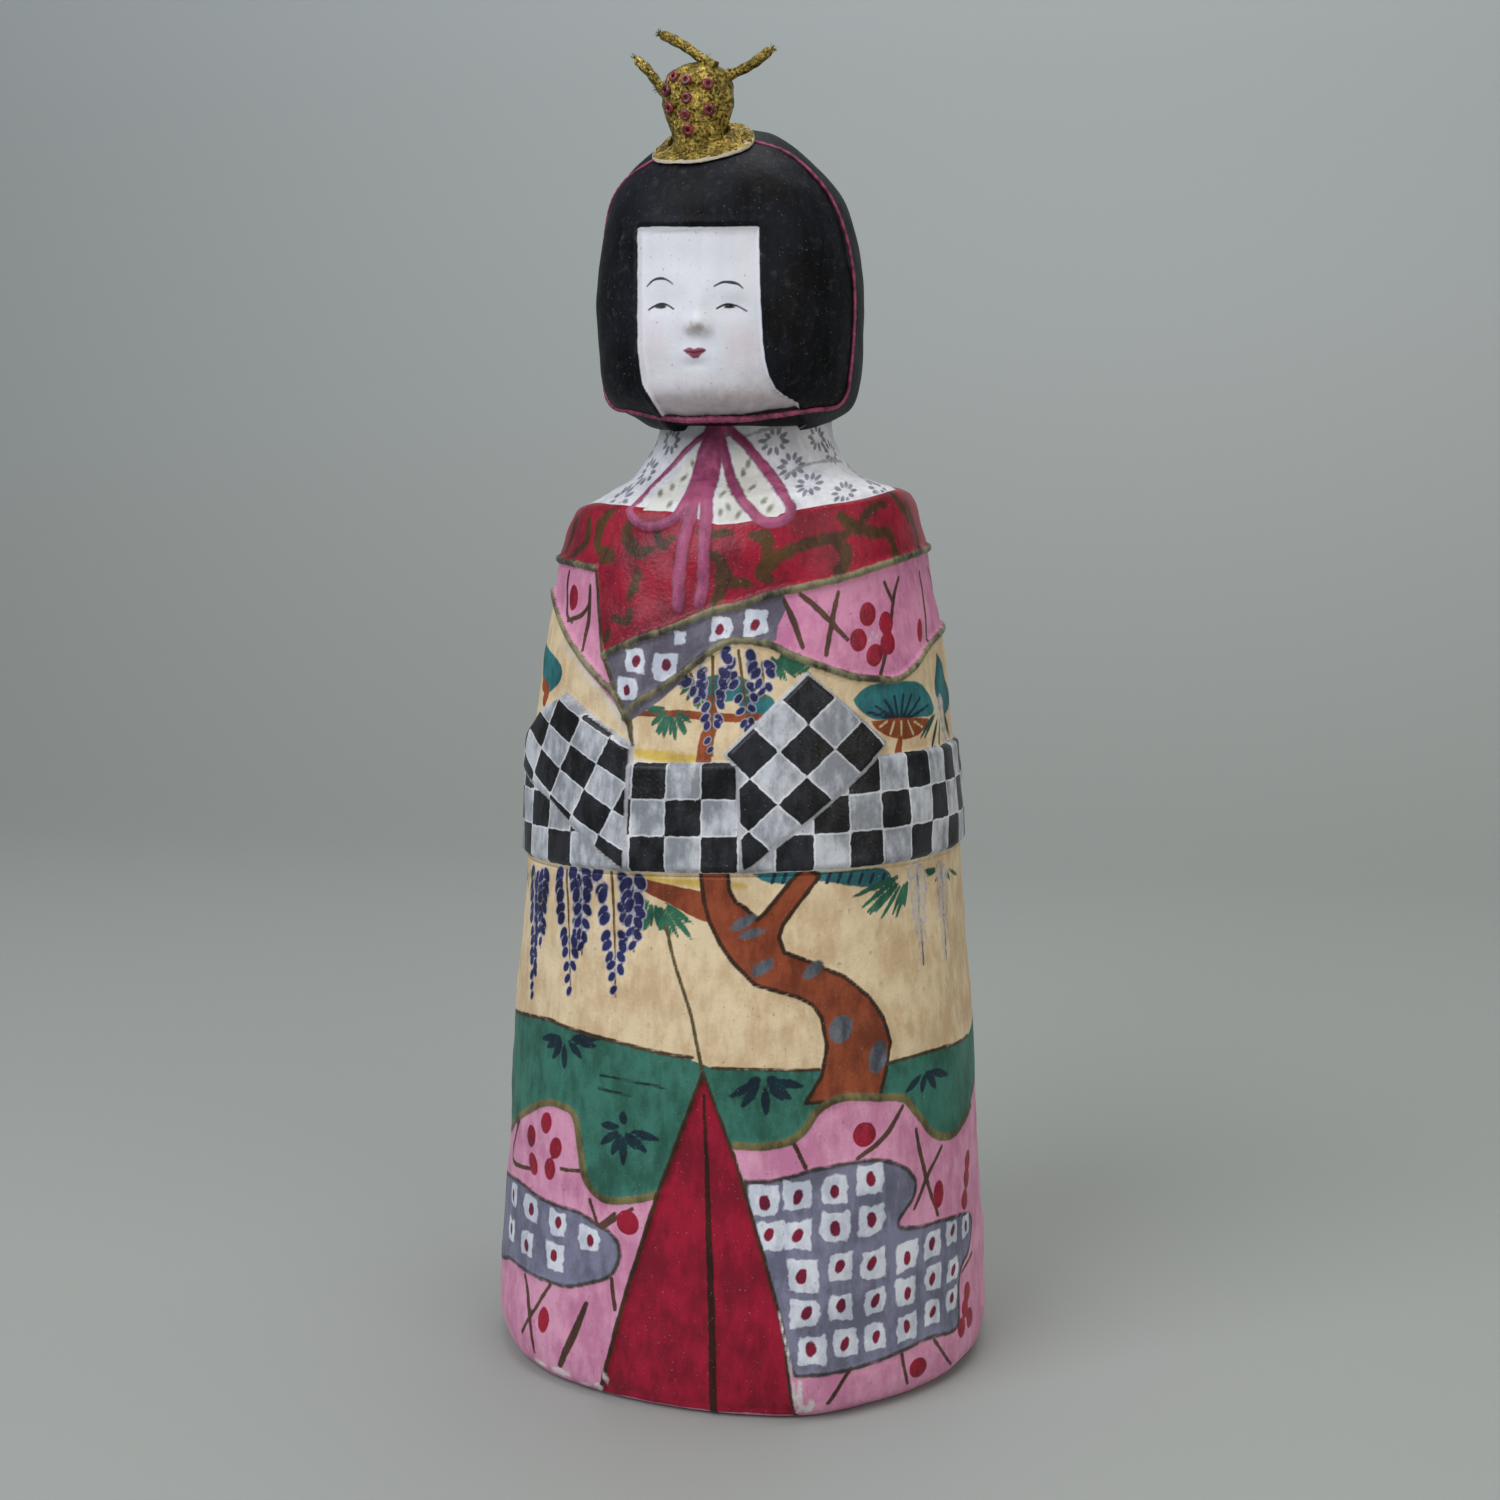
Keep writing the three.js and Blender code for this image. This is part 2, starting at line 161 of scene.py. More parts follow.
cameraData = bpy.data.cameras.new("camera")
cameraData.sensor_width = 36
cameraData.lens = cameraData.sensor_width * view["focal"] / view["pixels"]
camera = bpy.data.objects.new("camera", cameraData)
camera.location = Vector(view["place"]) * mm
camera.rotation_euler = Vector(forward).to_track_quat("-Z", "Y").to_euler()
bpy.context.scene.collection.objects.link(camera)
bpy.context.scene.camera = camera


# Where the line of sight through a pixel meets the body or the head, as degrees round and height
def senseRobe(p):
    z = p[..., 2]
    for _ in range(3):
        z = p[..., 2] - robeShares(0 * z, z)[3] * p[..., 0]
    depth, back, _, _ = robeShares(0 * z, z)
    width = robeWidth(z)
    across, deep = p[..., 0] / width, (back - p[..., 1]) / (width * depth)
    degrees = np.degrees(np.arctan2(across, deep))
    wider = robeShares(degrees, z)[2]
    n = robeForm["squareness"]
    reach = (np.abs(across) ** n + np.abs(deep) ** n) ** (1 / n) / wider
    return np.where((z < 0) | (z > robeForm["height"]), 9, reach), degrees, z


def senseHead(p):
    z = p[..., 2]
    for _ in range(3):
        z = p[..., 2] - headShares(p[..., 0] - headForm["centre"][0], z)[1]
    width = headWidth(z)
    across = (p[..., 0] - headForm["centre"][0]) / width
    deep = (headForm["centre"][1] - p[..., 1]) / (width * headShares(0, z)[0])
    n = headForm["squareness"]
    reach = (np.abs(across) ** n + np.abs(deep) ** n) ** (1 / n)
    top = headForm["base"] + headForm["height"]
    outside = (z < headForm["base"]) | (z > top)
    return np.where(outside, 9, reach), np.degrees(np.arctan2(across, deep)), z


def meet(pixels, sense):
    p = np.array(pixels, float).reshape(-1, 2) - view["pixels"] / 2
    way = forward * view["focal"] + sideways * p[:, :1] - upwards * p[:, 1:]
    way /= np.linalg.norm(way, axis=1)[:, None]
    far = np.arange(view["near"], view["far"], view["step"])
    reach, degrees, z = sense(np.array(view["place"]) + way[:, None] * far[None, :, None])
    inside = reach < 1
    first = np.where(inside.any(1), inside.argmax(1), reach.argmin(1))
    rows = np.arange(len(p))
    return degrees[rows, first], z[rows, first]


# A painted surface laid out flat: across and up in millimetres
def robeFlat(degrees, z):
    return np.stack([degrees * robeWidth(z) * robeForm["flatShare"] * math.pi / 180, z], -1)


def onRobe(*pixels):
    return robeFlat(*meet(pixels, senseRobe))


def roundPlace(*places):
    degrees, z = np.array(places, float).T
    return robeFlat(degrees, z)


farAway = -4.0


def newSheet(flat):
    return {"at": flat.reshape(-1, 2), "paint": {}}


def paintOf(sheet, name):
    return sheet["paint"].setdefault(name, np.full(len(sheet["at"]), farAway))


def windowOf(sheet, points, margin):
    low, high = points.min(0) - margin, points.max(0) + margin
    return np.nonzero(np.all((sheet["at"] > low) & (sheet["at"] < high), axis=1))[0]


def toLine(spots, a, b):
    # distance to one stretch of a line, and how far along it the nearest point is
    way = b - a
    t = np.clip(((spots - a) @ way) / max(way @ way, 1e-9), 0, 1)
    return np.linalg.norm(spots - a - t[:, None] * way, axis=1), t


def stroke(sheet, name, route, halfWidths, smooth=True):
    widths = np.interp(np.linspace(0, 1, len(route)), np.linspace(0, 1, len(halfWidths)), halfWidths)
    path = np.column_stack([route, widths])
    if smooth and len(route) > 2:
        path = curveThrough(path, 6)
    field = paintOf(sheet, name)
    inside = windowOf(sheet, path[:, :2], max(halfWidths) + 2)
    spots = sheet["at"][inside]
    best = np.full(len(inside), farAway)
    for a, b in zip(path, path[1:]):
        away, t = toLine(spots, a[:2], b[:2])
        best = np.maximum(best, a[2] + (b[2] - a[2]) * t - away)
    field[inside] = np.maximum(field[inside], best)


def patch(sheet, name, corners, smooth=False):
    edge = np.array(corners, float)
    if smooth:
        edge = curveThrough(np.vstack([edge, edge[:1]]), 5)[:-1]
    field = paintOf(sheet, name)
    inside = windowOf(sheet, edge, 3)
    spots = sheet["at"][inside]
    away = np.full(len(inside), 9.0)
    crossed = np.zeros(len(inside), bool)
    for a, b in zip(edge, np.roll(edge, -1, axis=0)):
        away = np.minimum(away, toLine(spots, a, b)[0])
        straddles = (a[1] > spots[:, 1]) != (b[1] > spots[:, 1])
        rise = b[1] - a[1] if b[1] != a[1] else 1e-9
        crossed ^= straddles & (spots[:, 0] < a[0] + (spots[:, 1] - a[1]) * (b[0] - a[0]) / rise)
    field[inside] = np.maximum(field[inside], np.where(crossed, away, -away))


def petal(sheet, name, centre, halfLength, halfWidth, lean=0, over=None):
    # an oval dab of the brush; lean is in degrees from upright, to the right
    # with over, the named field is cut away where this petal lies
    field = paintOf(sheet, name)
    centre = np.array(centre, float).reshape(2)
    inside = windowOf(sheet, centre[None], max(halfLength, halfWidth) + 2)
    d = sheet["at"][inside] - centre
    s, c = towards(lean)
    along, across = d[:, 0] * s + d[:, 1] * c, d[:, 0] * c - d[:, 1] * s
    size = np.sqrt((along / halfLength) ** 2 + (across / halfWidth) ** 2)
    depth = (1 - size) * min(halfLength, halfWidth)
    field[inside] = np.maximum(field[inside], depth)
    if over:
        under = paintOf(sheet, over)
        under[inside] = np.minimum(under[inside], -depth)


def band(sheet, name, degrees, z, low, high):
    # everything between two lines that run round the body, each a list of degrees and heights
    def lineAt(line):
        turn, height = np.array(sorted(line)).T
        return np.interp(degrees.ravel(), turn, height, period=360)
    value = np.minimum(z.ravel() - lineAt(low), lineAt(high) - z.ravel())
    sheet["paint"][name] = np.maximum(paintOf(sheet, name), value)


def lumps(points, wavelength, seed, waves=14):
    # the uneven surface of wet paper pressed over a form, from -1 to 1
    random = np.random.default_rng(seed)
    total = 0
    for _ in range(waves):
        way = random.normal(size=3)
        way *= 2 * math.pi / (wavelength * random.uniform(0.7, 1.5) * np.linalg.norm(way))
        total = total + np.sin(points @ way + random.uniform(0, 6.28))
    return total / math.sqrt(waves)


def uneven(points, skin):
    # skin: height in mm, wavelength in mm and seed of each set of lumps
    return sum(height * lumps(points, wavelength, seed) for height, wavelength, seed in skin)


def normalsOf(points):
    across = np.roll(points, -1, axis=1) - np.roll(points, 1, axis=1)
    up = np.gradient(points, axis=0)
    n = np.cross(across, up)
    return n / np.maximum(np.linalg.norm(n, axis=-1, keepdims=True), 1e-9)


def gridMesh(name, points, paint):
    # rows of points round an axis, from the bottom up, closed at both ends
    rows, columns = points.shape[:2]
    verts = np.vstack([points.reshape(-1, 3), points[0].mean(0), points[-1].mean(0)]) * mm
    index = np.arange(rows * columns).reshape(rows, columns)
    right = np.roll(index, -1, axis=1)
    quads = np.stack([index[:-1], right[:-1], right[1:], index[1:]], -1).reshape(-1, 4).tolist()
    low, high = rows * columns, rows * columns + 1
    quads += [(int(b), int(a), low) for a, b in zip(index[0], right[0])]
    quads += [(int(a), int(b), high) for a, b in zip(index[-1], right[-1])]
    mesh = bpy.data.meshes.new(name)
    mesh.from_pydata(verts.tolist(), [], quads)
    for key, values in paint.items():
        made = mesh.attributes.new(key, "FLOAT", "POINT")
        atCaps = [values[:columns].mean(), values[-columns:].mean()]
        made.data.foreach_set("value", np.append(values, atCaps).astype(np.float32))
    capFaces = 2 * columns
    mesh.polygons.foreach_set("use_smooth", [True] * (len(quads) - capFaces) + [False] * capFaces)
    piece = bpy.data.objects.new(name, mesh)
    bpy.context.scene.collection.objects.link(piece)
    return piece


# Materials
def hexColour(text):
    parts = [int(text[i:i + 2], 16) / 255 for i in (1, 3, 5)]
    return (*(c / 12.92 if c < 0.04045 else ((c + 0.055) / 1.055) ** 2.4 for c in parts), 1)


def setInputs(tree, node, inputs):
    for key, value in inputs.items():
        if isinstance(value, bpy.types.NodeSocket):
            tree.links.new(value, node.inputs[key])
        else:
            node.inputs[key].default_value = value


def addNode(tree, kind, settings=None, inputs=None):
    made = tree.nodes.new(kind)
    for key, value in (settings or {}).items():
        setattr(made, key, value)
    setInputs(tree, made, inputs or {})
    return made


def newMaterial(name):
    material = bpy.data.materials.new(name)
    material.use_nodes = True
    tree = material.node_tree
    where = addNode(tree, "ShaderNodeTexCoord").outputs["Object"]
    return material, tree, tree.nodes["Principled BSDF"], where


def noise(tree, where, wavelength, detail, roughness=0.5):
    # the wavelength is in millimetres, the object coordinates are in metres
    return addNode(tree, "ShaderNodeTexNoise", inputs={"Vector": where, "Scale": 1 / (wavelength * mm),
        "Detail": detail, "Roughness": roughness}).outputs[0]


def ranged(tree, value, low, high, toLow=0.0, toHigh=1.0, kind="LINEAR"):
    return addNode(tree, "ShaderNodeMapRange", {"interpolation_type": kind}, {
        "Value": value, "From Min": low, "From Max": high, "To Min": toLow, "To Max": toHigh}).outputs[0]


def mixed(tree, share, first, second, kind="MIX"):
    return addNode(tree, "ShaderNodeMix", {"data_type": "RGBA", "blend_type": kind}, {
        0: share, 6: first, 7: second}).outputs[2]


def combined(tree, operation, *values):
    return addNode(tree, "ShaderNodeMath", {"operation": operation}, dict(enumerate(values))).outputs[0]


def bumped(tree, height, strength, distance):
    return addNode(tree, "ShaderNodeBump", inputs={
        "Height": height, "Strength": strength, "Distance": distance * mm}).outputs[0]


# Wavelengths and the depth of the relief in mm, and where a noise starts to show
# the pale specks stand partly for dust and partly for painted glints
brushLook = {"wobble": 1.6, "streak": 2.2, "streakRoughness": 0.62, "cloud": 11, "toneFrom": 0.78,
    "toneTo": 1.22, "grain": 0.8, "relief": 0.25, "shake": 4, "dirt": (0.8, 0.71, 0.77, 0.35, "#6a5c50"),
    "dustAndGlint": (0.42, 0.7, 0.75, 0.28, "#c4c2c0")}


def brushPaint(name, layers, ground, stretch, strength, specular):
    # layers: field, light colour, dark colour, roughness, softness of the edge in mm, wobble in mm
    look = brushLook
    material, tree, shader, where = newMaterial(name)
    drawn = addNode(tree, "ShaderNodeMapping", inputs={0: where, 3: stretch}).outputs[0]
    shake = combined(tree, "SUBTRACT", noise(tree, where, look["wobble"], 3), 0.5)
    streak = noise(tree, drawn, look["streak"], 6, look["streakRoughness"])
    blend = combined(tree, "ADD", streak, noise(tree, where, look["cloud"], 4))
    tone = ranged(tree, blend, look["toneFrom"], look["toneTo"], kind="SMOOTHSTEP")
    colour, rough = mixed(tree, tone, hexColour(ground[1]), hexColour(ground[0])), ground[2]
    for field, light, dark, roughness, soft, wobble in layers:
        value = addNode(tree, "ShaderNodeAttribute", {"attribute_name": field}).outputs["Fac"]
        moved = combined(tree, "MULTIPLY_ADD", shake, look["shake"] * wobble, value)
        mask = ranged(tree, moved, -soft, soft, kind="SMOOTHSTEP")
        colour = mixed(tree, mask, colour, mixed(tree, tone, hexColour(dark), hexColour(light)))
        rough = addNode(tree, "ShaderNodeMix", {"data_type": "FLOAT"},
            {0: mask, 2: rough, 3: roughness}).outputs[0]
    # specks of dirt, pale specks that are partly dust and partly painted glints, the grain of the ground and
    # the ridges left by the brush
    for kind, detail, blending in [("dirt", 1, "MULTIPLY"), ("dustAndGlint", 2, "MIX")]:
        wavelength, low, high, most, shade = look[kind]
        spots = ranged(tree, noise(tree, where, wavelength, detail), low, high, toHigh=most)
        colour = mixed(tree, spots, colour, hexColour(shade), blending)
    height = combined(tree, "ADD", noise(tree, where, look["grain"], 4), streak)
    setInputs(tree, shader, {
        "Base Color": colour, "Roughness": rough, "Normal": bumped(tree, height, strength, look["relief"])})
    shader.inputs["Specular IOR Level"].default_value = specular
    return material


def mottledMaterial(name, look):
    # two shades in patches that also stand out a little
    material, tree, shader, where = newMaterial(name)
    patchy = noise(tree, where, look["patch"], look["detail"])
    share = ranged(tree, patchy, look["from"], look["to"])
    setInputs(tree, shader, {
        "Base Color": mixed(tree, share, hexColour(look["dark"]), hexColour(look["light"])),
        "Normal": bumped(tree, patchy, look["bump"], look["relief"]), "Roughness": look["roughness"]})
    return material, shader


# Stage: a pale floor that curves up into a backdrop, and soft light
# the wall colour is lighter than the floor's as painted light: the backdrop is painted brighter higher up
stageLook = {"floor": "#9da09c", "wall": "#b9bfbf", "riseFrom": 0.02, "riseTo": 0.6, "roughness": 0.62,
             "width": 3.2, "front": -1.4, "bend": 0.55, "curve": 0.5, "height": 2.6}
lights = {
    "keyLight": ((-0.55, -0.9, 0.95), (0, 0, 0.13), 0.9, 12, "#f6f8ff"),
    "fillLight": ((0.9, -0.7, 0.6), (0, 0, 0.13), 0.8, 3.6, "#fff8ef"),
    "topLight": ((0.1, 0.15, 1.25), (0, 0, 0.1), 0.9, 6.5, "#ffffff"),
}
roomLook = {"colour": "#dfe6e8", "strength": 0.34}


def makeStage():
    s = stageLook
    sweep = [(s["front"], 0.0), (s["bend"], 0.0)]
    for a in np.linspace(0.15, math.pi / 2, 14):
        sweep.append((s["bend"] + s["curve"] * math.sin(a), s["curve"] * (1 - math.cos(a))))
    sweep.append((s["bend"] + s["curve"], s["height"]))
    verts = [(x, y, z) for y, z in sweep for x in (-s["width"], s["width"])]
    faces = [(2 * i, 2 * i + 1, 2 * i + 3, 2 * i + 2) for i in range(len(sweep) - 1)]
    mesh = bpy.data.meshes.new("backdrop")
    mesh.from_pydata(verts, [], faces)
    mesh.polygons.foreach_set("use_smooth", [True] * len(mesh.polygons))
    material, tree, shader, where = newMaterial("backdropWithPaintedLight")
    # painted light: the colour goes from the floor's to the lighter wall's as the backdrop rises
    upright = addNode(tree, "ShaderNodeSeparateXYZ", inputs={0: where}).outputs["Z"]
    rise = ranged(tree, upright, s["riseFrom"], s["riseTo"])
    setInputs(tree, shader, {"Base Color": mixed(tree, rise, hexColour(s["floor"]), hexColour(s["wall"])),
        "Roughness": s["roughness"]})
    mesh.materials.append(material)
    backdrop = bpy.data.objects.new("backdrop", mesh)
    bpy.context.scene.collection.objects.link(backdrop)


def addLight(name, place, aim, size, power, colour):
    data = bpy.data.lights.new(name, "AREA")
    data.size, data.energy, data.color = size, power, hexColour(colour)[:3]
    light = bpy.data.objects.new(name, data)
    light.location = place
    light.rotation_euler = (Vector(aim) - Vector(place)).to_track_quat("-Z", "Y").to_euler()
    bpy.context.scene.collection.objects.link(light)


makeStage()
for name, settings in lights.items():
    addLight(name, *settings)
world = bpy.data.worlds.new("room")
world.use_nodes = True
background = world.node_tree.nodes["Background"].inputs
background["Color"].default_value = hexColour(roomLook["colour"])
background["Strength"].default_value = roomLook["strength"]
bpy.context.scene.world = world
bpy.context.scene.view_settings.view_transform = "Standard"
print("stage and camera made")


# The robe
robeGrid = {"frontFrom": -82, "frontTo": 106, "frontStep": 0.52, "backStep": 1.3,
            "lowStep": 0.56, "highStep": 0.54, "highFrom": 106, "cutAt": 102.8}


def spacedRows(outline, step):
    # points along an outline, their spacing given by a function of the height
    length = np.append(0, np.cumsum(np.linalg.norm(np.diff(outline, axis=0), axis=1)))
    rows, at = [], 0.0
    while at < length[-1]:
        rows.append(at)
        at += step(np.interp(at, length, outline[:, 1]))
    rows.append(length[-1])
    return np.interp(rows, length, outline[:, 0]), np.interp(rows, length, outline[:, 1])


def robeDegrees():
    g = robeGrid
    front = np.arange(g["frontFrom"], g["frontTo"], g["frontStep"])
    back = np.arange(g["frontTo"], g["frontFrom"] + 360, g["backStep"])
    return signed(np.append(front, back))


underNeck = robeOutline[robeOutline[:, 1] <= robeForm["height"] + 4]
_, robeRowZ = spacedRows(underNeck,
    lambda z: robeGrid["highStep"] if z > robeGrid["highFrom"] else robeGrid["lowStep"])
degrees, heights = np.meshgrid(robeDegrees(), robeRowZ)
robe = newSheet(robeFlat(degrees, heights))


def share(pairs):
    return [(d, part * robeForm["height"]) for d, part in pairs]


# Edges of the crossed collars, as in the solid
innerEdge = share([
    (-28, 0.766), (-18.4, 0.781), (-9.4, 0.791), (2.3, 0.808), (11, 0.814), (19.5, 0.823), (28, 0.828),
    (41, 0.836), (52, 0.844), (67, 0.852), (90, 0.858), (130, 0.862), (180, 0.864), (230, 0.866),
    (270, 0.867), (290, 0.868), (310, 0.863), (324, 0.856),
])
outerEdge = share([
    (-20.2, 0.703), (-17, 0.719), (-11.3, 0.731), (-4.2, 0.749), (1.3, 0.765), (6.8, 0.777), (11, 0.779),
    (19, 0.774), (24.6, 0.763), (38.5, 0.742), (48, 0.735), (55.3, 0.733), (62.4, 0.742), (72.5, 0.759),
    (88, 0.773), (130, 0.79), (180, 0.8), (230, 0.815), (270, 0.828), (290, 0.832), (299, 0.818),
    (314, 0.786), (324.3, 0.76), (332, 0.739), (337, 0.724), (340.2, 0.703),
])


def turned(line):
    return [(signed(d), z) for d, z in line]


def roundLine(name, line, halfWidths):
    # a stroke that goes all the way round is drawn in two, because the flat layout ends behind
    line = curveThrough(line, 8)
    for shift in (0, -360):
        run = [(d + shift, z) for d, z in line if -190 < d + shift < 190]
        if len(run) > 1:
            stroke(robe, name, roundPlace(*run), halfWidths, smooth=False)


# Bands of cloth from the ground up
hillTop = [*zip(*meet([(515, 1010), (540, 1018), (560, 1025), (620, 1043), (660, 1053), (692, 1060),
    (712, 1068), (760, 1070), (820, 1070), (890, 1062), (935, 1050), (970, 1035)], senseRobe)), (135, 76),
    (170, 70), (-160, 72), (-120, 78)]
hillLowPixels = [(508, 1130), (524, 1113), (545, 1103), (563, 1107), (575, 1118), (580, 1150), (585, 1178),
    (598, 1196), (615, 1201), (640, 1199), (665, 1193), (703, 1170), (735, 1146), (762, 1147), (790, 1141),
    (806, 1128), (817, 1112), (832, 1102), (850, 1097), (880, 1098), (905, 1099), (917, 1113), (930, 1130),
    (942, 1137), (955, 1134), (966, 1120), (972, 1105)]
hillLow = [*zip(*meet(hillLowPixels, senseRobe)),
           (125, 62), (150, 50), (180, 55), (-150, 44), (-120, 58), (-95, 60)]
neckLine = share([(-67, 0.926), (-45.7, 0.924), (-30, 0.92), (-19, 0.916), (-8, 0.908), (3.9, 0.894),
    (9.4, 0.894), (15.4, 0.896), (28.8, 0.904), (42.6, 0.909), (54.4, 0.913), (69.3, 0.92), (96, 0.929),
    (130, 0.927), (180, 0.925), (-130, 0.925), (-95, 0.926)])
top = [(0, 400)]
ground = [(0, -50)]
band(robe, "neckCloth", degrees, heights, neckLine, top)
collarLow = turned(innerEdge)
band(robe, "redCollar", degrees, heights, collarLow, neckLine)
pinkHigh = [(d, z + 0.4) for d, z in collarLow]
band(robe, "pinkCollar", degrees, heights, turned(outerEdge), pinkHigh)
band(robe, "hill", degrees, heights, hillLow, hillTop)
band(robe, "pinkHem", degrees, heights, ground, hillLow)
sashLow = [(-180, robeForm["sashLow"]), (179, robeForm["sashLow"])]
sashHigh = [(-180, robeForm["sashHigh"]), (179, robeForm["sashHigh"])]
band(robe, "sash", degrees, heights, sashLow, sashHigh)
lapelPatch = onRobe((540, 566), (580, 569), (597, 574), (600, 612), (603, 655), (628, 722), (603, 690),
    (575, 655), (556, 622), (545, 600))
patch(robe, "lapelPink", lapelPatch)
greyPatch = onRobe((604, 650), (660, 624), (720, 606), (782, 588), (788, 606), (778, 624), (776, 641),
    (752, 640), (735, 641), (718, 646), (700, 655), (682, 680), (660, 700), (628, 722), (615, 690))
patch(robe, "greyCloth", greyPatch)

# Chequered sash, and the two sleeve tips folded over it
leftFold = onRobe((567, 693), (600, 722), (632, 746), (630, 800), (627, 871), (600, 848), (573, 822),
    (550, 795), (530, 762), (535, 735), (548, 706))
rightFold = onRobe((807, 673), (850, 709), (887, 743), (850, 783), (812, 818), (776, 846), (757, 864),
    (742, 874), (739, 820), (738, 768), (724, 755), (765, 715))
patch(robe, "foldLeft", leftFold)
patch(robe, "foldRight", rightFold)
chequer = {"turn": 9.0, "leftTurn": 9.6, "from": -16.2, "leftFrom": -34.2, "foldSide": 6.9, "rows": 3,
    "rightMiddle": (808, 698), "leftMiddle": (581, 766.5), "leftAlong": (6.7, -3.5),
    "leftAcross": (2.7, 5.0), "squareHalf": 2.2, "rim": 0.28, "gap": 0.06}
rowHeight = (robeForm["sashHigh"] - robeForm["sashLow"]) / chequer["rows"]
flatDegrees = degrees.ravel()
chequerU = np.where(flatDegrees > chequer["from"] - 9, (flatDegrees - chequer["from"]) / chequer["turn"],
                    (flatDegrees - chequer["leftFrom"]) / chequer["leftTurn"] + 1)
chequerV = (robeForm["sashHigh"] - heights.ravel()) / rowHeight
toRight = robe["at"] - onRobe(chequer["rightMiddle"])[0]
inRight = robe["paint"]["foldRight"] > 0
side = chequer["foldSide"] * math.sqrt(2)
chequerU = np.where(inRight, (toRight[:, 0] - toRight[:, 1]) / side + 0.5, chequerU)
chequerV = np.where(inRight, (toRight[:, 0] + toRight[:, 1]) / side + 0.5, chequerV)
toLeft = robe["at"] - onRobe(chequer["leftMiddle"])[0]
basis = np.linalg.inv(np.array([chequer["leftAlong"], chequer["leftAcross"]]).T)
leftUV = toLeft @ basis.T + 0.5
inLeft = (robe["paint"]["foldLeft"] > 0) & ~inRight
chequerU = np.where(inLeft, leftUV[:, 0], chequerU)
chequerV = np.where(inLeft, leftUV[:, 1], chequerV)
waveU, waveV = np.sin(np.pi * chequerU), np.sin(np.pi * chequerV)
squares = chequer["squareHalf"] * np.sign(waveU * waveV) * np.minimum(np.abs(waveU), np.abs(waveV))
sashArea = np.maximum.reduce([robe["paint"][n] for n in ("sash", "foldLeft", "foldRight")])
robe["paint"]["sash"] = sashArea
robe["paint"]["squareRim"] = np.minimum(squares + chequer["rim"], sashArea)
robe["paint"]["blackSquare"] = np.minimum(squares - chequer["gap"], sashArea)
for fold in (leftFold, rightFold):
    stroke(robe, "foldEdge", np.vstack([fold, fold[:1]]), [0.3], smooth=False)

# Red underskirt in the parting of the robe
gore = onRobe((703, 1073), (655, 1200), (630, 1280), (607, 1360), (598, 1392), (600, 1440), (798, 1440),
    (798, 1418), (783, 1330), (765, 1262), (735, 1160))
patch(robe, "gore", gore)
stroke(robe, "goreEdge", np.vstack([gore[:4], onRobe((600, 1392))]), [0.4], False)
stroke(robe, "goreEdge", gore[[0, -1, -2, -3, -4]], [0.35], False)
for name, pixels, *how in [
    ("goreSeam", [(703, 1095), (706, 1180), (708, 1250), (711, 1340), (712, 1420)], [0.3, 0.6, 0.7]),
    ("frontSeam", [(665, 925), (675, 965), (690, 1012), (697, 1045), (704, 1078)], [0.35]),
]:
    stroke(robe, name, onRobe(*pixels), *how)
print("cloth laid out")

# Outlines in gilt: raised cords of the collars and lines round the hills and clouds
roundLine("piping", innerEdge, [0.7])
roundLine("piping", outerEdge, [0.7])
for name, pixels, *how in [
    ("pipingThin", [(597, 574), (600, 612), (603, 655), (615, 690), (628, 724)], [0.45], False),
    ("pipingThin", [(628, 722), (630, 735), (633, 745)], [0.7, 0.3], False),
]:
    stroke(robe, name, onRobe(*pixels), *how)
for run in (hillLowPixels[:10] + [(664, 1193)], hillLowPixels[12:]):
    stroke(robe, "giltLine", onRobe(*run), [0.75])
behind = sorted((d if d > 0 else d + 360, z) for d, z in hillLow if d > 100 or d < -80)
stroke(robe, "giltLine", roundPlace(*[p for p in behind if p[0] <= 180]), [0.75])
stroke(robe, "giltLine", roundPlace(*[(d - 360, z) for d, z in behind if d >= 180]), [0.75])
for name, pixels, *how in [
    ("brownLine", [(515, 1010), (540, 1018), (560, 1025), (620, 1043), (660, 1053), (692, 1058)], [0.4]),
    ("brownLine", [(712, 1068), (760, 1070), (820, 1070)], [0.35]),
    ("brownLine", [(888, 1064), (935, 1050), (970, 1035)], [0.35]),
]:
    stroke(robe, name, onRobe(*pixels), *how)

leftCloud = onRobe((500, 1172), (508, 1176), (520, 1182), (536, 1196), (556, 1206), (576, 1212),
    (594, 1224), (608, 1232), (618, 1245), (618, 1262), (608, 1277), (589, 1283), (566, 1287), (546, 1282),
    (526, 1272), (510, 1259), (500, 1248))
rightCloud = onRobe((745, 1182), (768, 1182), (792, 1177), (812, 1171), (838, 1166), (865, 1161),
    (885, 1161), (901, 1166), (913, 1176), (916, 1186), (913, 1199), (904, 1212), (899, 1222), (903, 1228),
    (921, 1227), (944, 1220), (964, 1214), (972, 1216), (973, 1232), (969, 1252), (962, 1269), (961, 1298),
    (961, 1322), (954, 1332), (934, 1338), (911, 1348), (878, 1361), (845, 1371), (812, 1376), (796, 1376),
    (788, 1365), (778, 1338), (768, 1298), (760, 1262), (752, 1225), (745, 1196))
for cloud in (leftCloud, rightCloud):
    patch(robe, "greyCloud", cloud, True)
    stroke(robe, "cloudEdge", np.vstack([cloud, cloud[:1]]), [0.4])

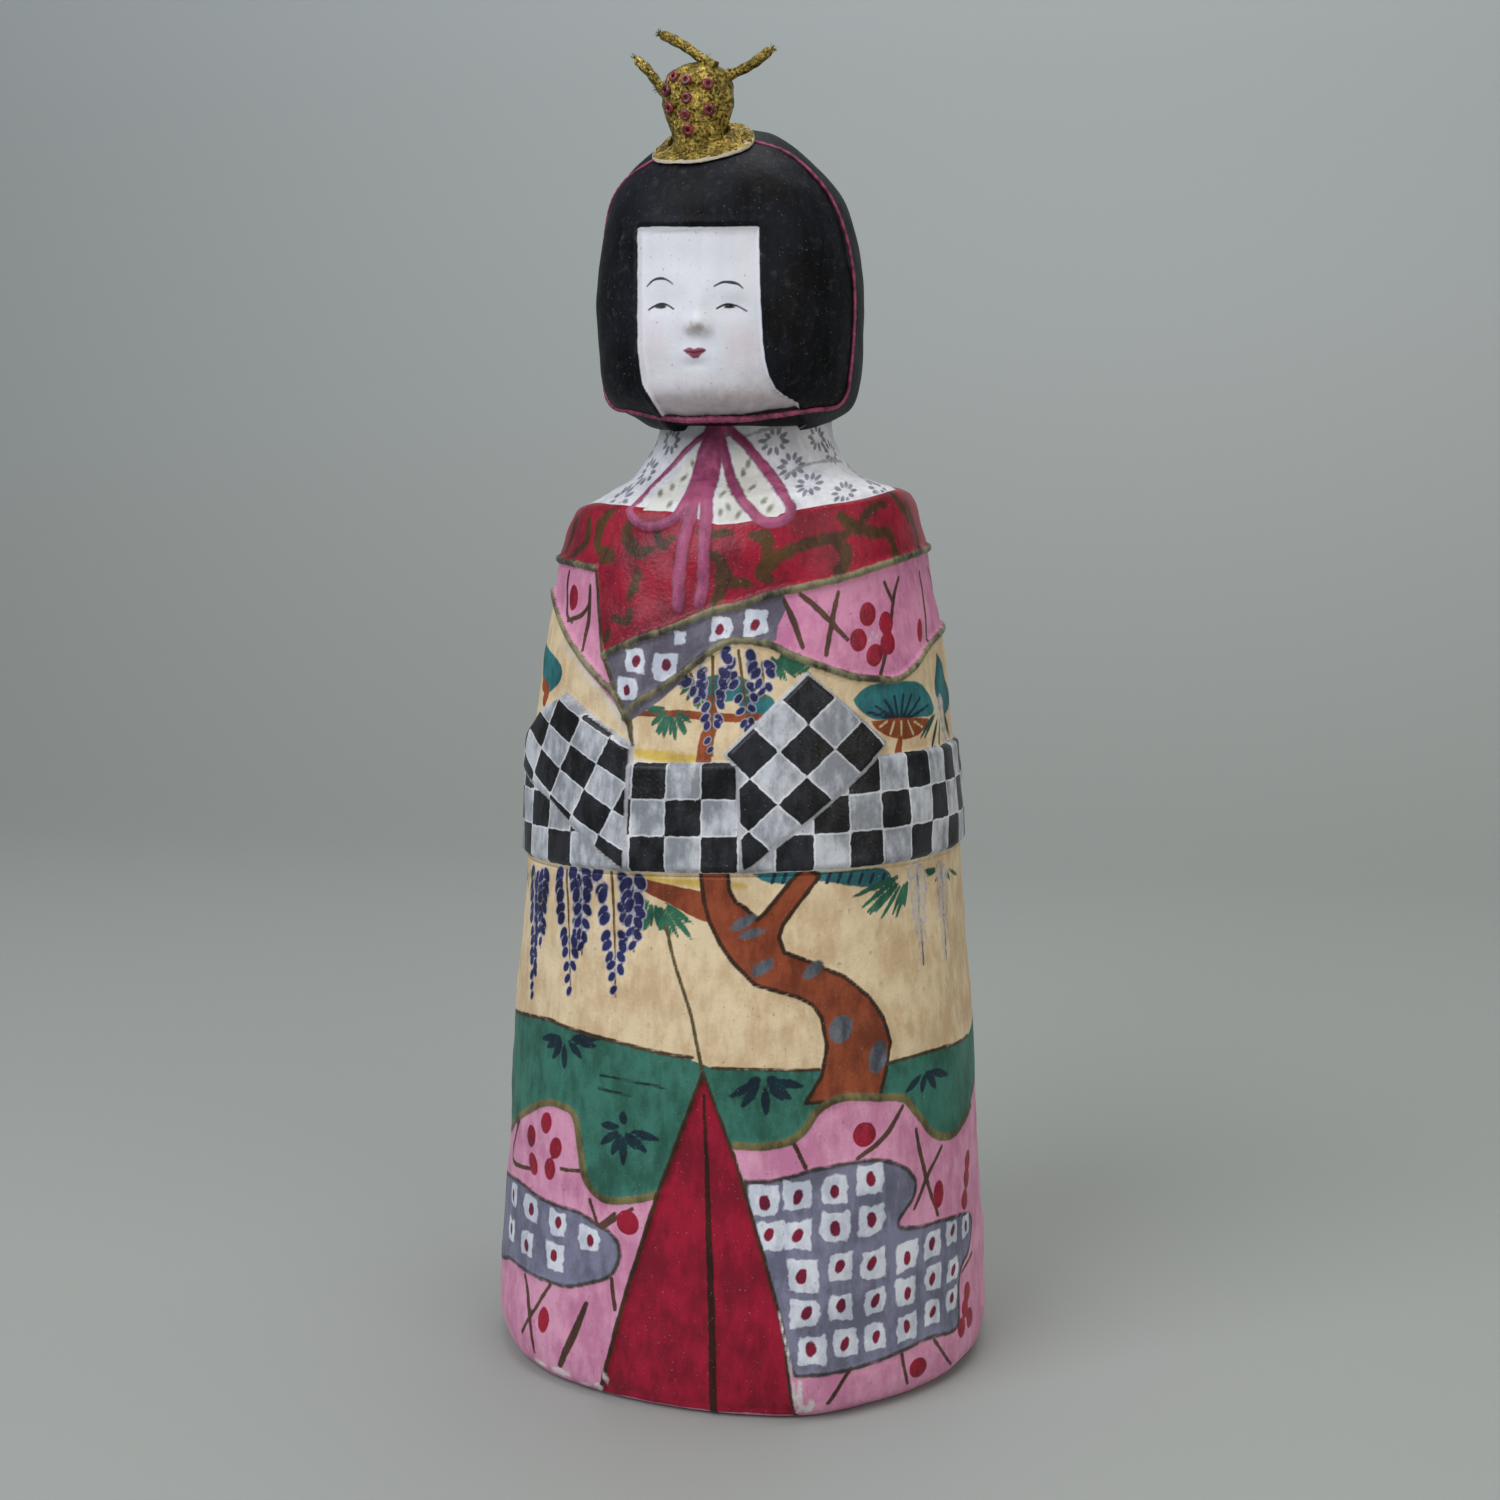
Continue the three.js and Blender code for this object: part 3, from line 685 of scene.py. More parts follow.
squarePlaces = {"collar": [(634, 661, 24), (665, 667, 26), (626, 689, 22), (720, 628, 22), (757, 622, 24),
    (680, 637, 12)], "leftCloud": [(513, 1194, 24), (529, 1208, 26), (556, 1224, 26), (588, 1239, 24),
    (511, 1229, 24), (526, 1244, 26), (553, 1258, 27)], "rightCloud": [(763, 1202, 29), (797, 1196, 28),
    (835, 1190, 27), (870, 1179, 28), (769, 1236, 27), (798, 1235, 27), (837, 1227, 30), (871, 1220, 30),
    (803, 1276, 30), (840, 1268, 28), (874, 1264, 28), (908, 1257, 27), (934, 1245, 26), (953, 1232, 25),
    (967, 1224, 22), (805, 1313, 28), (841, 1308, 28), (876, 1302, 26), (908, 1293, 26), (935, 1278, 26),
    (954, 1269, 24), (812, 1351, 30), (847, 1343, 26), (876, 1337, 24), (909, 1328, 25), (935, 1313, 25),
    (954, 1300, 23)]}
pixelsPerMm = 4.87
dabs = np.random.default_rng(11)


# Corners as shares of the half size, how much each may stray, and the red heart as shares of the size
knot = {"corners": [(-0.85, -1), (0, -0.92), (0.85, -1), (0.95, 0), (0.85, 1), (0, 0.94), (-0.85, 1),
    (-0.95, 0)], "stray": (0.8, 1.13), "heartFrom": 3, "heart": (0.25, 0.16), "heartStray": 0.4,
    "heartLean": (-10, 30)}


def knotSquare(centre, size):
    # a white knot of tie-dye: an uneven square with a red heart
    corners = np.array(knot["corners"]) * size / 2
    patch(robe, "knotWhite", centre + corners * dabs.uniform(*knot["stray"], (8, 1)))
    if size > knot["heartFrom"]:
        stray = dabs.uniform(-knot["heartStray"], knot["heartStray"], 2)
        tall, wide = (part * size for part in knot["heart"])
        petal(robe, "knotHeart", centre + stray, tall, wide, dabs.uniform(*knot["heartLean"]))



for places in squarePlaces.values():
    for x, y, size in places:
        knotSquare(onRobe((x, y))[0], size / pixelsPerMm)

# Plum blossom and berries, and their twigs
for x, y in [(868, 614), (887, 623), (888, 643), (875, 655), (859, 640)]:
    petal(robe, "plum", onRobe((x, y))[0], 2.2, 1.85, dabs.uniform(-20, 20))
for x, y in [(546, 1123), (531, 1136), (555, 1148), (532, 1164), (549, 1169)]:
    petal(robe, "plum", onRobe((x, y))[0], 2.3, 1.6, dabs.uniform(-20, 20))
for x, y in [(969, 1160), (968, 1178), (966, 1200), (970, 1292), (968, 1308), (964, 1328), (972, 1318)]:
    petal(robe, "plum", onRobe((x, y))[0], 2.0, 1.8)
for x, y, tall, wide in [(922, 630, 2.3, 1.3), (572, 597, 2.6, 1.7), (627, 1223, 2.4, 2.3),
    (542, 1320, 2.6, 1.6), (865, 1135, 2.3, 2.3), (940, 1194, 2.7, 1.6), (920, 1369, 2.1, 2.3)]:
    petal(robe, "plum", onRobe((x, y))[0], tall, wide, dabs.uniform(-8, 12))
for x, y in [(873, 633), (877, 636), (871, 640), (543, 1143)]:
    petal(robe, "plumCentre", onRobe((x, y))[0], 0.5, 0.4)

twigs = [[(568, 571), (566, 590), (565, 612), (570, 622)], [(566, 620), (580, 615), (588, 606)],
    [(590, 585), (588, 620), (582, 650)], [(784, 600), (793, 620), (803, 648)],
    [(800, 594), (815, 606), (848, 640)], [(838, 592), (832, 620), (826, 655)], [(900, 577), (895, 600),
    (888, 640), (884, 660), (880, 675)], [(885, 582), (894, 600)], [(922, 572), (926, 600), (930, 640)],
    [(930, 568), (934, 590)], [(522, 1113), (510, 1156), (530, 1169)], [(560, 1169), (580, 1171)],
    [(589, 1200), (596, 1225)], [(614, 1214), (600, 1227), (632, 1209)],
    [(523, 1275), (527, 1300), (535, 1352)], [(548, 1285), (522, 1332)], [(611, 1278), (615, 1310)],
    [(793, 1142), (806, 1169)], [(904, 1106), (885, 1136), (858, 1159)],
    [(916, 1129), (924, 1166), (939, 1215)], [(944, 1146), (931, 1172), (915, 1209)],
    [(851, 1368), (828, 1404)], [(903, 1355), (909, 1385)], [(936, 1340), (952, 1365)],
    [(974, 1252), (964, 1272)], [(976, 1350), (966, 1366)]]
for route in twigs:
    stroke(robe, "twig", onRobe(*route), [0.4, 0.55, 0.4])
stroke(robe, "twig", onRobe((585, 1304), (572, 1335), (559, 1366)), [0.5, 0.85, 0.6])

# Scrolling vines on the red collar
scrolls = [[(577, 520), (573, 535), (566, 550)], [(590, 520), (584, 545), (572, 556)], [(612, 512),
    (600, 528), (598, 548), (610, 556), (603, 562)], [(632, 520), (626, 534), (637, 552), (652, 548)],
    [(655, 525), (662, 545), (672, 538)], [(638, 572), (634, 588), (630, 598)],
    [(615, 618), (628, 620), (630, 610)], [(752, 536), (764, 538), (768, 556), (762, 574), (770, 580)],
    [(762, 576), (775, 560), (795, 548), (815, 541), (838, 538), (848, 532)], [(840, 516), (850, 524),
    (868, 532), (888, 534), (893, 550), (897, 558)], [(832, 540), (845, 552), (842, 568), (834, 572)],
    [(885, 488), (896, 500), (908, 520)], [(712, 553), (722, 568), (720, 590), (712, 602)],
    [(718, 580), (735, 582), (750, 585)], [(606, 640), (610, 632)], [(700, 530), (712, 534), (728, 532)],
    [(905, 505), (915, 525), (920, 545)], [(862, 520), (872, 508), (884, 504)]]
for route in scrolls:
    stroke(robe, "scroll", onRobe(*route), [0.85, 1.4, 1.0, 1.3, 0.7])
for turn in range(118, 300, 26):
    wave = [(signed(d + turn), z) for d, z in [(-8, 164), (-3, 167), (2, 163), (6, 166)]]
    stroke(robe, "scroll", roundPlace(*wave), [0.6, 1.1, 0.6])

# The great tree
trunk = onRobe((700, 868), (703, 900), (709, 922), (720, 945), (732, 962), (755, 985), (776, 991),
    (798, 997), (813, 1005), (822, 1018), (827, 1046), (822, 1076), (806, 1103), (881, 1098), (886, 1073),
    (891, 1043), (884, 1017), (871, 998), (845, 977), (812, 963), (784, 952), (779, 938), (783, 925),
    (800, 902), (820, 876), (806, 868), (792, 880), (780, 895), (765, 913), (757, 920), (745, 908),
    (735, 902), (729, 890), (727, 868))
patch(robe, "trunk", trunk)
patch(robe, "trunk", onRobe((638, 878), (665, 884), (702, 892), (712, 925), (690, 916), (668, 904),
    (642, 891)))
stroke(robe, "trunkEdge", np.vstack([trunk, trunk[:1]]), [0.4], False)
for x, y, long, wide, lean in [(743, 923, 2.5, 1.0, 60), (752, 934, 2.3, 0.9, 75),
    (762, 968, 2.4, 1.1, 55), (813, 970, 2.2, 1.2, 50), (841, 1029, 2.6, 2.2, 20),
    (879, 1057, 3.0, 1.9, 10)]:
    petal(robe, "knotHole", onRobe((x, y))[0], long, wide, lean)
for name, pixels, *how in [
    ("branch", [(626, 713), (680, 714), (730, 718), (765, 717)], [0.45, 0.9, 0.6]),
    ("branch", [(709, 700), (711, 722), (706, 742), (703, 764)], [1.0, 1.3, 1.4]),
    ("branch", [(543, 684), (546, 690), (544, 700)], [1.3]),
    ("branch", [(901, 738), (900, 748), (898, 758)], [0.6, 1.0]),
]:
    stroke(robe, name, onRobe(*pixels), *how)

# Rounded pine tops in teal, and the orange fan under one
for name, pixels, *how in [
    ("pineTop", [(853, 700), (864, 688), (880, 683), (895, 681), (921, 683), (934, 700), (935, 714),
        (911, 718), (878, 720), (861, 711)], True),
    ("pineTop", [(545, 640), (556, 660), (560, 676), (553, 688), (543, 690)], True),
    ("pineTop", [(938, 652), (944, 668), (950, 700), (944, 716), (938, 690)], True),
    ("pineTop", [(752, 874), (790, 871), (830, 872), (880, 868), (892, 878), (880, 887), (850, 886),
        (820, 881), (790, 884), (765, 882)], True),
]:
    patch(robe, name, onRobe(*pixels), *how)
petal(robe, "pineTop", onRobe((757, 705))[0], 2.2, 3.2)
petal(robe, "pineTop", onRobe((722, 688))[0], 2.6, 5.4)
patch(robe, "pineFan", onRobe((871, 721), (900, 718), (931, 719), (924, 731), (908, 739), (891, 737),
    (878, 730)), True)
for tip in [(868, 712), (876, 706), (885, 700), (894, 696), (903, 694), (912, 694), (921, 698), (929, 705)]:
    stroke(robe, "darkDab", onRobe((900 + 0.25 * (tip[0] - 900), 719), tip), [0.35, 0.3])
for tip in [(880, 727), (891, 734), (902, 737), (914, 734), (924, 727)]:
    stroke(robe, "fanGap", onRobe((900 + 0.6 * (tip[0] - 900), 721), tip), [0.25])
for x in range(775, 890, 11):
    stroke(robe, "darkDab", onRobe((x, 874), (x - 3, 883)), [0.35])


# Where a needle starts on the way to its tip, how far its double strays in pixels, half widths in mm
needle = {"start": 0.36, "across": (-7, 7), "up": (-6, 4), "halfWidths": [0.22, 0.45, 0.22]}


def needles(name, root, tips):
    for tip in tips:
        for shift in (0, 1):
            x = tip[0] + shift * dabs.uniform(*needle["across"])
            y = tip[1] + shift * dabs.uniform(*needle["up"])
            start = np.array(root) + needle["start"] * np.array([x - root[0], y - root[1]])
            stroke(robe, name, onRobe(start, (start + [x, y]) / 2, (x, y)), needle["halfWidths"])



for one in [("needle", (672, 706), [(652, 722), (656, 732), (663, 738), (675, 740), (684, 734), (690, 722),
    (648, 712)]), ("needle", (700, 676), [(682, 690), (686, 700), (694, 706), (706, 704), (680, 680)]),
    ("needle", (768, 648), [(805, 672), (796, 678), (786, 680), (776, 676), (806, 664)]), ("needle",
    (652, 893), [(650, 926), (661, 930), (676, 934), (690, 936), (692, 924), (668, 938), (640, 916)]),
    ("needle", (640, 884), [(632, 914), (642, 930), (628, 900)]), ("needle", (912, 868), [(862, 908),
    (870, 914), (882, 918), (893, 914), (903, 905), (858, 896), (874, 896)]), ("needle", (947, 866),
    [(930, 876), (938, 882), (952, 880)]), ("needle", (528, 864), [(520, 880), (526, 890), (534, 884)]),
    ("needleDark", (944, 700), [(934, 744), (940, 752), (947, 748), (951, 736), (926, 738)])]:
    needles(*one)


# Petals: size at the top and how much it shrinks, shares of the size for rim, body and the white kind's body
strand = {"size": 2.0, "shrink": 0.95, "rim": (1.04, 0.7), "body": (0.92, 0.57), "white": (0.74, 0.46),
          "stray": 0.6, "lean": (-50, -15), "single": 0.8}


def wisteria(name, top, bottom, wide, pairs, seed, scale=1.0):
    # a hanging strand: pairs of petals that shrink towards the tip
    random = np.random.default_rng(seed)
    a, b = onRobe(top)[0], onRobe(bottom)[0]
    stroke(robe, "stem", np.array([a, b]), [0.3, 0.22], False)
    for i in range(pairs):
        t = (i + 0.4) / pairs
        centre = a + (b - a) * t
        size = scale * (strand["size"] - strand["shrink"] * t)
        for sign in (-1, 1):
            out = sign * wide * (1 - t) ** 0.7 * random.uniform(0.75, 1.1)
            spot = centre + [out, random.uniform(-strand["stray"], strand["stray"])]
            if t > strand["single"] and sign > 0:
                continue
            lean = sign * random.uniform(*strand["lean"])
            white = name == "whiteWisteria"
            rim, body = (np.array(strand[part]) * size for part in ("rim", "white" if white else "body"))
            petal(robe, "petalRim", spot, *rim, lean, over=name)
            petal(robe, name, spot, *body, lean, over="petalRim" if white else None)



for one in [
    ("wisteria", (534, 872), (531, 1000), 2.0, 12, 1),
    ("wisteria", (543, 872), (539, 948), 1.4, 7, 2),
    ("wisteria", (566, 870), (568, 996), 2.9, 11, 3),
    ("wisteria", (580, 868), (580, 955), 2.0, 7, 4),
    ("wisteria", (611, 872), (615, 998), 3.1, 11, 5),
    ("wisteria", (632, 880), (633, 952), 1.7, 6, 6),
    ("wisteria", (738, 650), (750, 738), 2.6, 8, 7, 0.78),
    ("wisteria", (712, 656), (712, 756), 2.6, 9, 8, 0.78),
    ("wisteria", (690, 674), (700, 706), 1.8, 4, 9, 0.78),
    ("wisteria", (762, 662), (764, 700), 1.7, 4, 10, 0.78),
    ("whiteWisteria", (920, 868), (924, 965), 1.8, 9, 12),
    ("whiteWisteria", (945, 868), (948, 960), 1.6, 9, 13),
    ("whiteWisteria", (940, 700), (952, 760), 1.6, 6, 14),
]:
    wisteria(*one)
behindStrand = {"top": 103, "foot": 80, "swing": 4, "pairs": 8, "wide": 2.6, "narrows": 8.5,
                "rim": (1.9, 1.6), "rimLess": (0.12, 0.1), "body": (1.6, 1.2), "bodyLess": (0.12, 0.08)}
for turn, kind in [(118, "whiteWisteria"), (134, "wisteria"), (146, "wisteria"), (168, "whiteWisteria"),
                   (-165, "wisteria"), (-148, "wisteria"), (-128, "whiteWisteria"), (-108, "wisteria"),
                   (-94, "wisteria")]:
    b = behindStrand
    top, foot = roundPlace((turn, b["top"]), (turn, b["foot"] + b["swing"] * math.sin(turn)))
    stroke(robe, "stem", np.array([top, foot]), [0.45, 0.4], False)
    for i in range(b["pairs"]):
        spot = top + (foot - top) * (i + 0.5) / b["pairs"]
        for sign in (-1, 1):
            side = spot + [sign * b["wide"] * (1 - i / b["narrows"]), 0]
            petal(robe, "petalRim", side, *(np.array(b["rim"]) - np.array(b["rimLess"]) * i))
            if kind == "wisteria":
                petal(robe, kind, side, *(np.array(b["body"]) - np.array(b["bodyLess"]) * i))


# Leaf bursts on the hills
leafBurst = {"near": 0.28, "far": 1.08, "halfWidths": [0.25, 0.85, 0.35]}


def burst(x, y, tips):
    for tip in tips:
        near, far = onRobe(*[(x + leafBurst[end] * tip[0],
            y + leafBurst[end] * tip[1]) for end in ("near", "far")])
        stroke(robe, "leaf", np.array([near, (near + far) / 2, far]), leafBurst["halfWidths"])



for one in [
    (564, 1036, [(-16, 10), (-10, 20), (0, 29), (16, 20), (28, 10), (-20, 2), (34, 2)]),
    (623, 1128, [(-20, -3), (-20, 14), (-10, 24), (0, 33), (11, 19), (20, 22), (32, 11), (0, -14)]),
    (764, 1078, [(-30, 17), (-20, 26), (2, 33), (17, 20), (24, 19), (36, 8), (-14, 4), (12, 3)]),
    (926, 1070, [(-16, 20), (-2, 20), (10, 16), (20, 4), (6, 8)]),
]:
    burst(*one)
for turn, z in [(128, 69), (158, 62), (-172, 64), (-142, 62), (-112, 70)]:
    for way in range(-80, 81, 32):
        a = roundPlace((turn, z + 4))[0]
        out = towards(way) * [1, -1]
        stroke(robe, "leaf", np.array([a + 1.5 * out, a + 3.6 * out, a + 5.6 * out]), [0.6, 1.2, 0.7])
for route in [[(600, 1075), (640, 1083), (664, 1088)], [(598, 1088), (630, 1096)],
    [(730, 1096), (755, 1098)], [(860, 1108), (900, 1104)]]:
    stroke(robe, "thinDark", onRobe(*route), [0.28])

# Twigs, berries and a cloud behind
for turn in (118, 140, 163, -174, -150, -128, -104):
    base = 8 + 5 * math.sin(3 * turn)
    stroke(robe, "twig", roundPlace((turn, base), (turn + 3, base + 14), (turn - 1, base + 28)),
        [0.7, 0.8, 0.6])
    stroke(robe, "twig", roundPlace((turn + 3, base + 13), (turn - 5, base + 24)), [0.6])
    petal(robe, "plum", roundPlace((turn - 6, base + 26))[0], 2.4, 2.2)
backCloud = [(128, 22), (140, 29), (158, 32), (170, 27), (176, 17), (166, 9), (148, 7), (134, 12)]
patch(robe, "greyCloud", roundPlace(*backCloud), True)
for turn in (136, 144, 152, 160, 168):
    for z in (12, 18.5, 25):
        knotSquare(roundPlace((turn, z + 1.2 * math.sin(turn)))[0], 4.6)

floret = {"step": 36, "far": (1.7, 2.2), "long": (0.7, 1.0), "wide": 0.42, "edge": 0.2,
          "backStep": 72, "backFar": 1.7, "backLong": 0.95, "backWide": 0.6}

# Neck: fine florets on the white cloth, and the overlapping edges of the inner collars
for x, y in [(671, 440), (648, 471), (620, 498), (775, 440), (818, 438), (809, 483), (856, 470), (792, 464),
             (832, 452), (878, 487), (716, 436), (845, 490)]:
    centre = onRobe((x, y))[0]
    for way in np.arange(0, 360, floret["step"]) + dabs.uniform(0, floret["step"]):
        place = centre + dabs.uniform(*floret["far"]) * towards(way)
        petal(robe, "floret", place, dabs.uniform(*floret["long"]), floret["wide"], way)
for turn in range(112, 300, 22):
    for z in (178.5, 185):
        centre = roundPlace((signed(turn + 5 * (z > 180)), z))[0]
        for way in range(0, 360, floret["backStep"]):
            place = centre + floret["backFar"] * towards(way)
            petal(robe, "floret", place, floret["backLong"], floret["backWide"], way)
robe["paint"]["floret"] = np.minimum(paintOf(robe, "floret"), paintOf(robe, "neckCloth") - floret["edge"])
for name, pixels, *how in [
    ("faintLine", [(784, 474), (800, 466), (818, 461), (843, 460)], [0.3]),
    ("faintLine", [(742, 437), (762, 430), (790, 424)], [0.3]),
]:
    stroke(robe, name, onRobe(*pixels), *how)

# Bow under the chin: cream silk in its loops, and the cord in long strokes
for name, pixels, *how in [
    ("bowCream", [(701, 448), (688, 484), (670, 510), (642, 510), (657, 492), (682, 466)]),
    ("bowCream", [(730, 443), (744, 451), (764, 474), (784, 510), (777, 517), (762, 517), (749, 502),
        (736, 479)]),
    ("bowCream", [(723, 464), (733, 494), (751, 520), (716, 522), (714, 502)]),
]:
    patch(robe, name, onRobe(*pixels), *how)
for x, y in [(660, 492), (672, 486), (684, 476), (668, 503), (692, 462), (743, 470), (752, 486), (764, 500),
             (748, 462), (722, 492), (728, 506), (738, 514), (770, 508), (720, 512)]:
    petal(robe, "creamSpeck", onRobe((x, y))[0], 0.8, 0.45, dabs.uniform(-50, 50))
bow = [([(711, 420), (688, 448), (662, 476), (640, 498), (629, 510)], [0.5, 0.42, 0.38]), ([(629, 510),
    (636, 521), (649, 526), (667, 522), (680, 510), (690, 490), (699, 466), (707, 443), (713, 421)],
    [0.6, 0.85, 0.95, 1.1]), ([(713, 422), (704, 476), (691, 510), (683, 543), (679, 578), (678, 606)],
    [1.3, 1.2, 1.0, 0.95]), ([(716, 422), (712, 476), (706, 510), (704, 543), (703, 578), (699, 603)],
    [1.2, 1.15, 0.95, 0.95]), ([(720, 422), (743, 441), (763, 464), (779, 487), (791, 507)],
    [0.75, 0.8, 0.7]), ([(791, 507), (787, 518), (774, 523), (761, 520), (749, 508), (737, 491),
    (729, 471), (723, 446), (718, 424)], [0.75, 0.85, 0.75, 0.75])]
for route, halfWidths in bow:
    stroke(robe, "cord", onRobe(*route), halfWidths)
    stroke(robe, "cordEdge", onRobe(*route), [wide + 0.15 for wide in halfWidths])
petal(robe, "cord", onRobe((715, 421))[0], 1.9, 2.0)
for x, y, tall, wide in [(598, 1388, 1.6, 1.2), (604, 1380, 2.2, 0.5), (560, 1372, 1.0, 3.0),
    (540, 1362, 0.9, 2.4), (800, 1398, 4.5, 0.6), (806, 1412, 1.5, 1.8), (812, 1404, 1.2, 0.8),
    (585, 1385, 0.8, 1.8)]:
    petal(robe, "worn", onRobe((x, y))[0], 0.75 * tall, 0.75 * wide)
for name, pixels, *how in [
    ("worn", [(798, 1415), (790, 1365), (778, 1310)], [0.35, 0.22, 0.12]),
    ("yellow", [(636, 752), (665, 757), (700, 760)], [0.7, 1.1, 0.8]),
    ("yellow", [(632, 876), (700, 884), (745, 886)], [0.5, 0.7, 0.5]),
    ("palePaint", [(560, 640), (585, 672), (612, 705), (634, 744)], [0.5, 1.0, 0.8]),
]:
    stroke(robe, name, onRobe(*pixels), *how)
print("robe painted")


# Relief of the moulding: field, height in mm, and how far inside its edge it starts and ends
robeRaised = [("sash", 1.2, -0.15, 0.75), ("fold", 0.45, -0.1, 0.7), ("redCollar", 0.3, -0.1, 0.9),
    ("lapelPink", 0.12, -0.1, 0.5), ("gore", -0.65, 0, 0.8), ("pipingThin", 0.3, -0.35, 0.45),
    ("giltLine", 0.28, -0.35, 0.75), ("goreEdge", 0.3, -0.35, 0.4), ("frontSeam", 0.22, -0.35, 0.35),
    ("goreSeam", 0.15, -0.35, 0.6), ("cloudEdge", 0.14, -0.35, 0.4), ("trunkEdge", 0.14, -0.35, 0.32),
    ("plum", 0.06, 0, 0.6), ("knotWhite", 0.05, 0, 0.5)]
robeRelief = {"sunk": 0.36, "skin": [(0.22, 24, 3), (0.08, 7, 4)], "pipingHigh": 0.95, "pipingHalf": 0.7,
              "pipingSpread": 0.82, "cordHigh": 0.4, "cordFrom": -0.15, "cordSpread": 1.1, "foot": 1.5}


def robeOff():
    r = robeRelief
    f = {key: values.reshape(degrees.shape) for key, values in robe["paint"].items()}
    f["fold"] = np.maximum(f["foldLeft"], f["foldRight"])
    off = sum(high * ease(f[name], start, end) for name, high, start, end in robeRaised)
    bead = np.clip(1 - ((r["pipingHalf"] - f["piping"]) / r["pipingSpread"]) ** 2, 0, 1)
    off += r["pipingHigh"] * np.sqrt(bead)
    off += r["cordHigh"] * np.sqrt(np.clip((f["cord"] - r["cordFrom"]) / r["cordSpread"], 0, 1))
    return (off - r["sunk"] + uneven(robePoint(degrees, heights), r["skin"])) * ease(heights, 0, r["foot"])


robeSurface = robePoint(degrees, heights)
robeSurface += normalsOf(robeSurface) * robeOff()[..., None]
robeSurface[..., 2] = np.maximum(robeSurface[..., 2], 0)
robeSurface[0, :, 2] = 0
cutRow = int(np.argmin(np.abs(robeRowZ - robeGrid["cutAt"])))


def dress(piece, slot, *nodes):
    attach(piece, "root")
    if nodes:
        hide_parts(*nodes)


def makeRobe(name, rows):
    # the robe is two meshes that meet under the edge of the sash
    paint = {key: values.reshape(degrees.shape)[rows].ravel() for key, values in robe["paint"].items()}
    piece = gridMesh(name, robeSurface[rows], paint)
    dress(piece, "painted_papier_mache", "figure")
    print(name, "made,", len(piece.data.polygons) * 2, "triangles")
    return piece


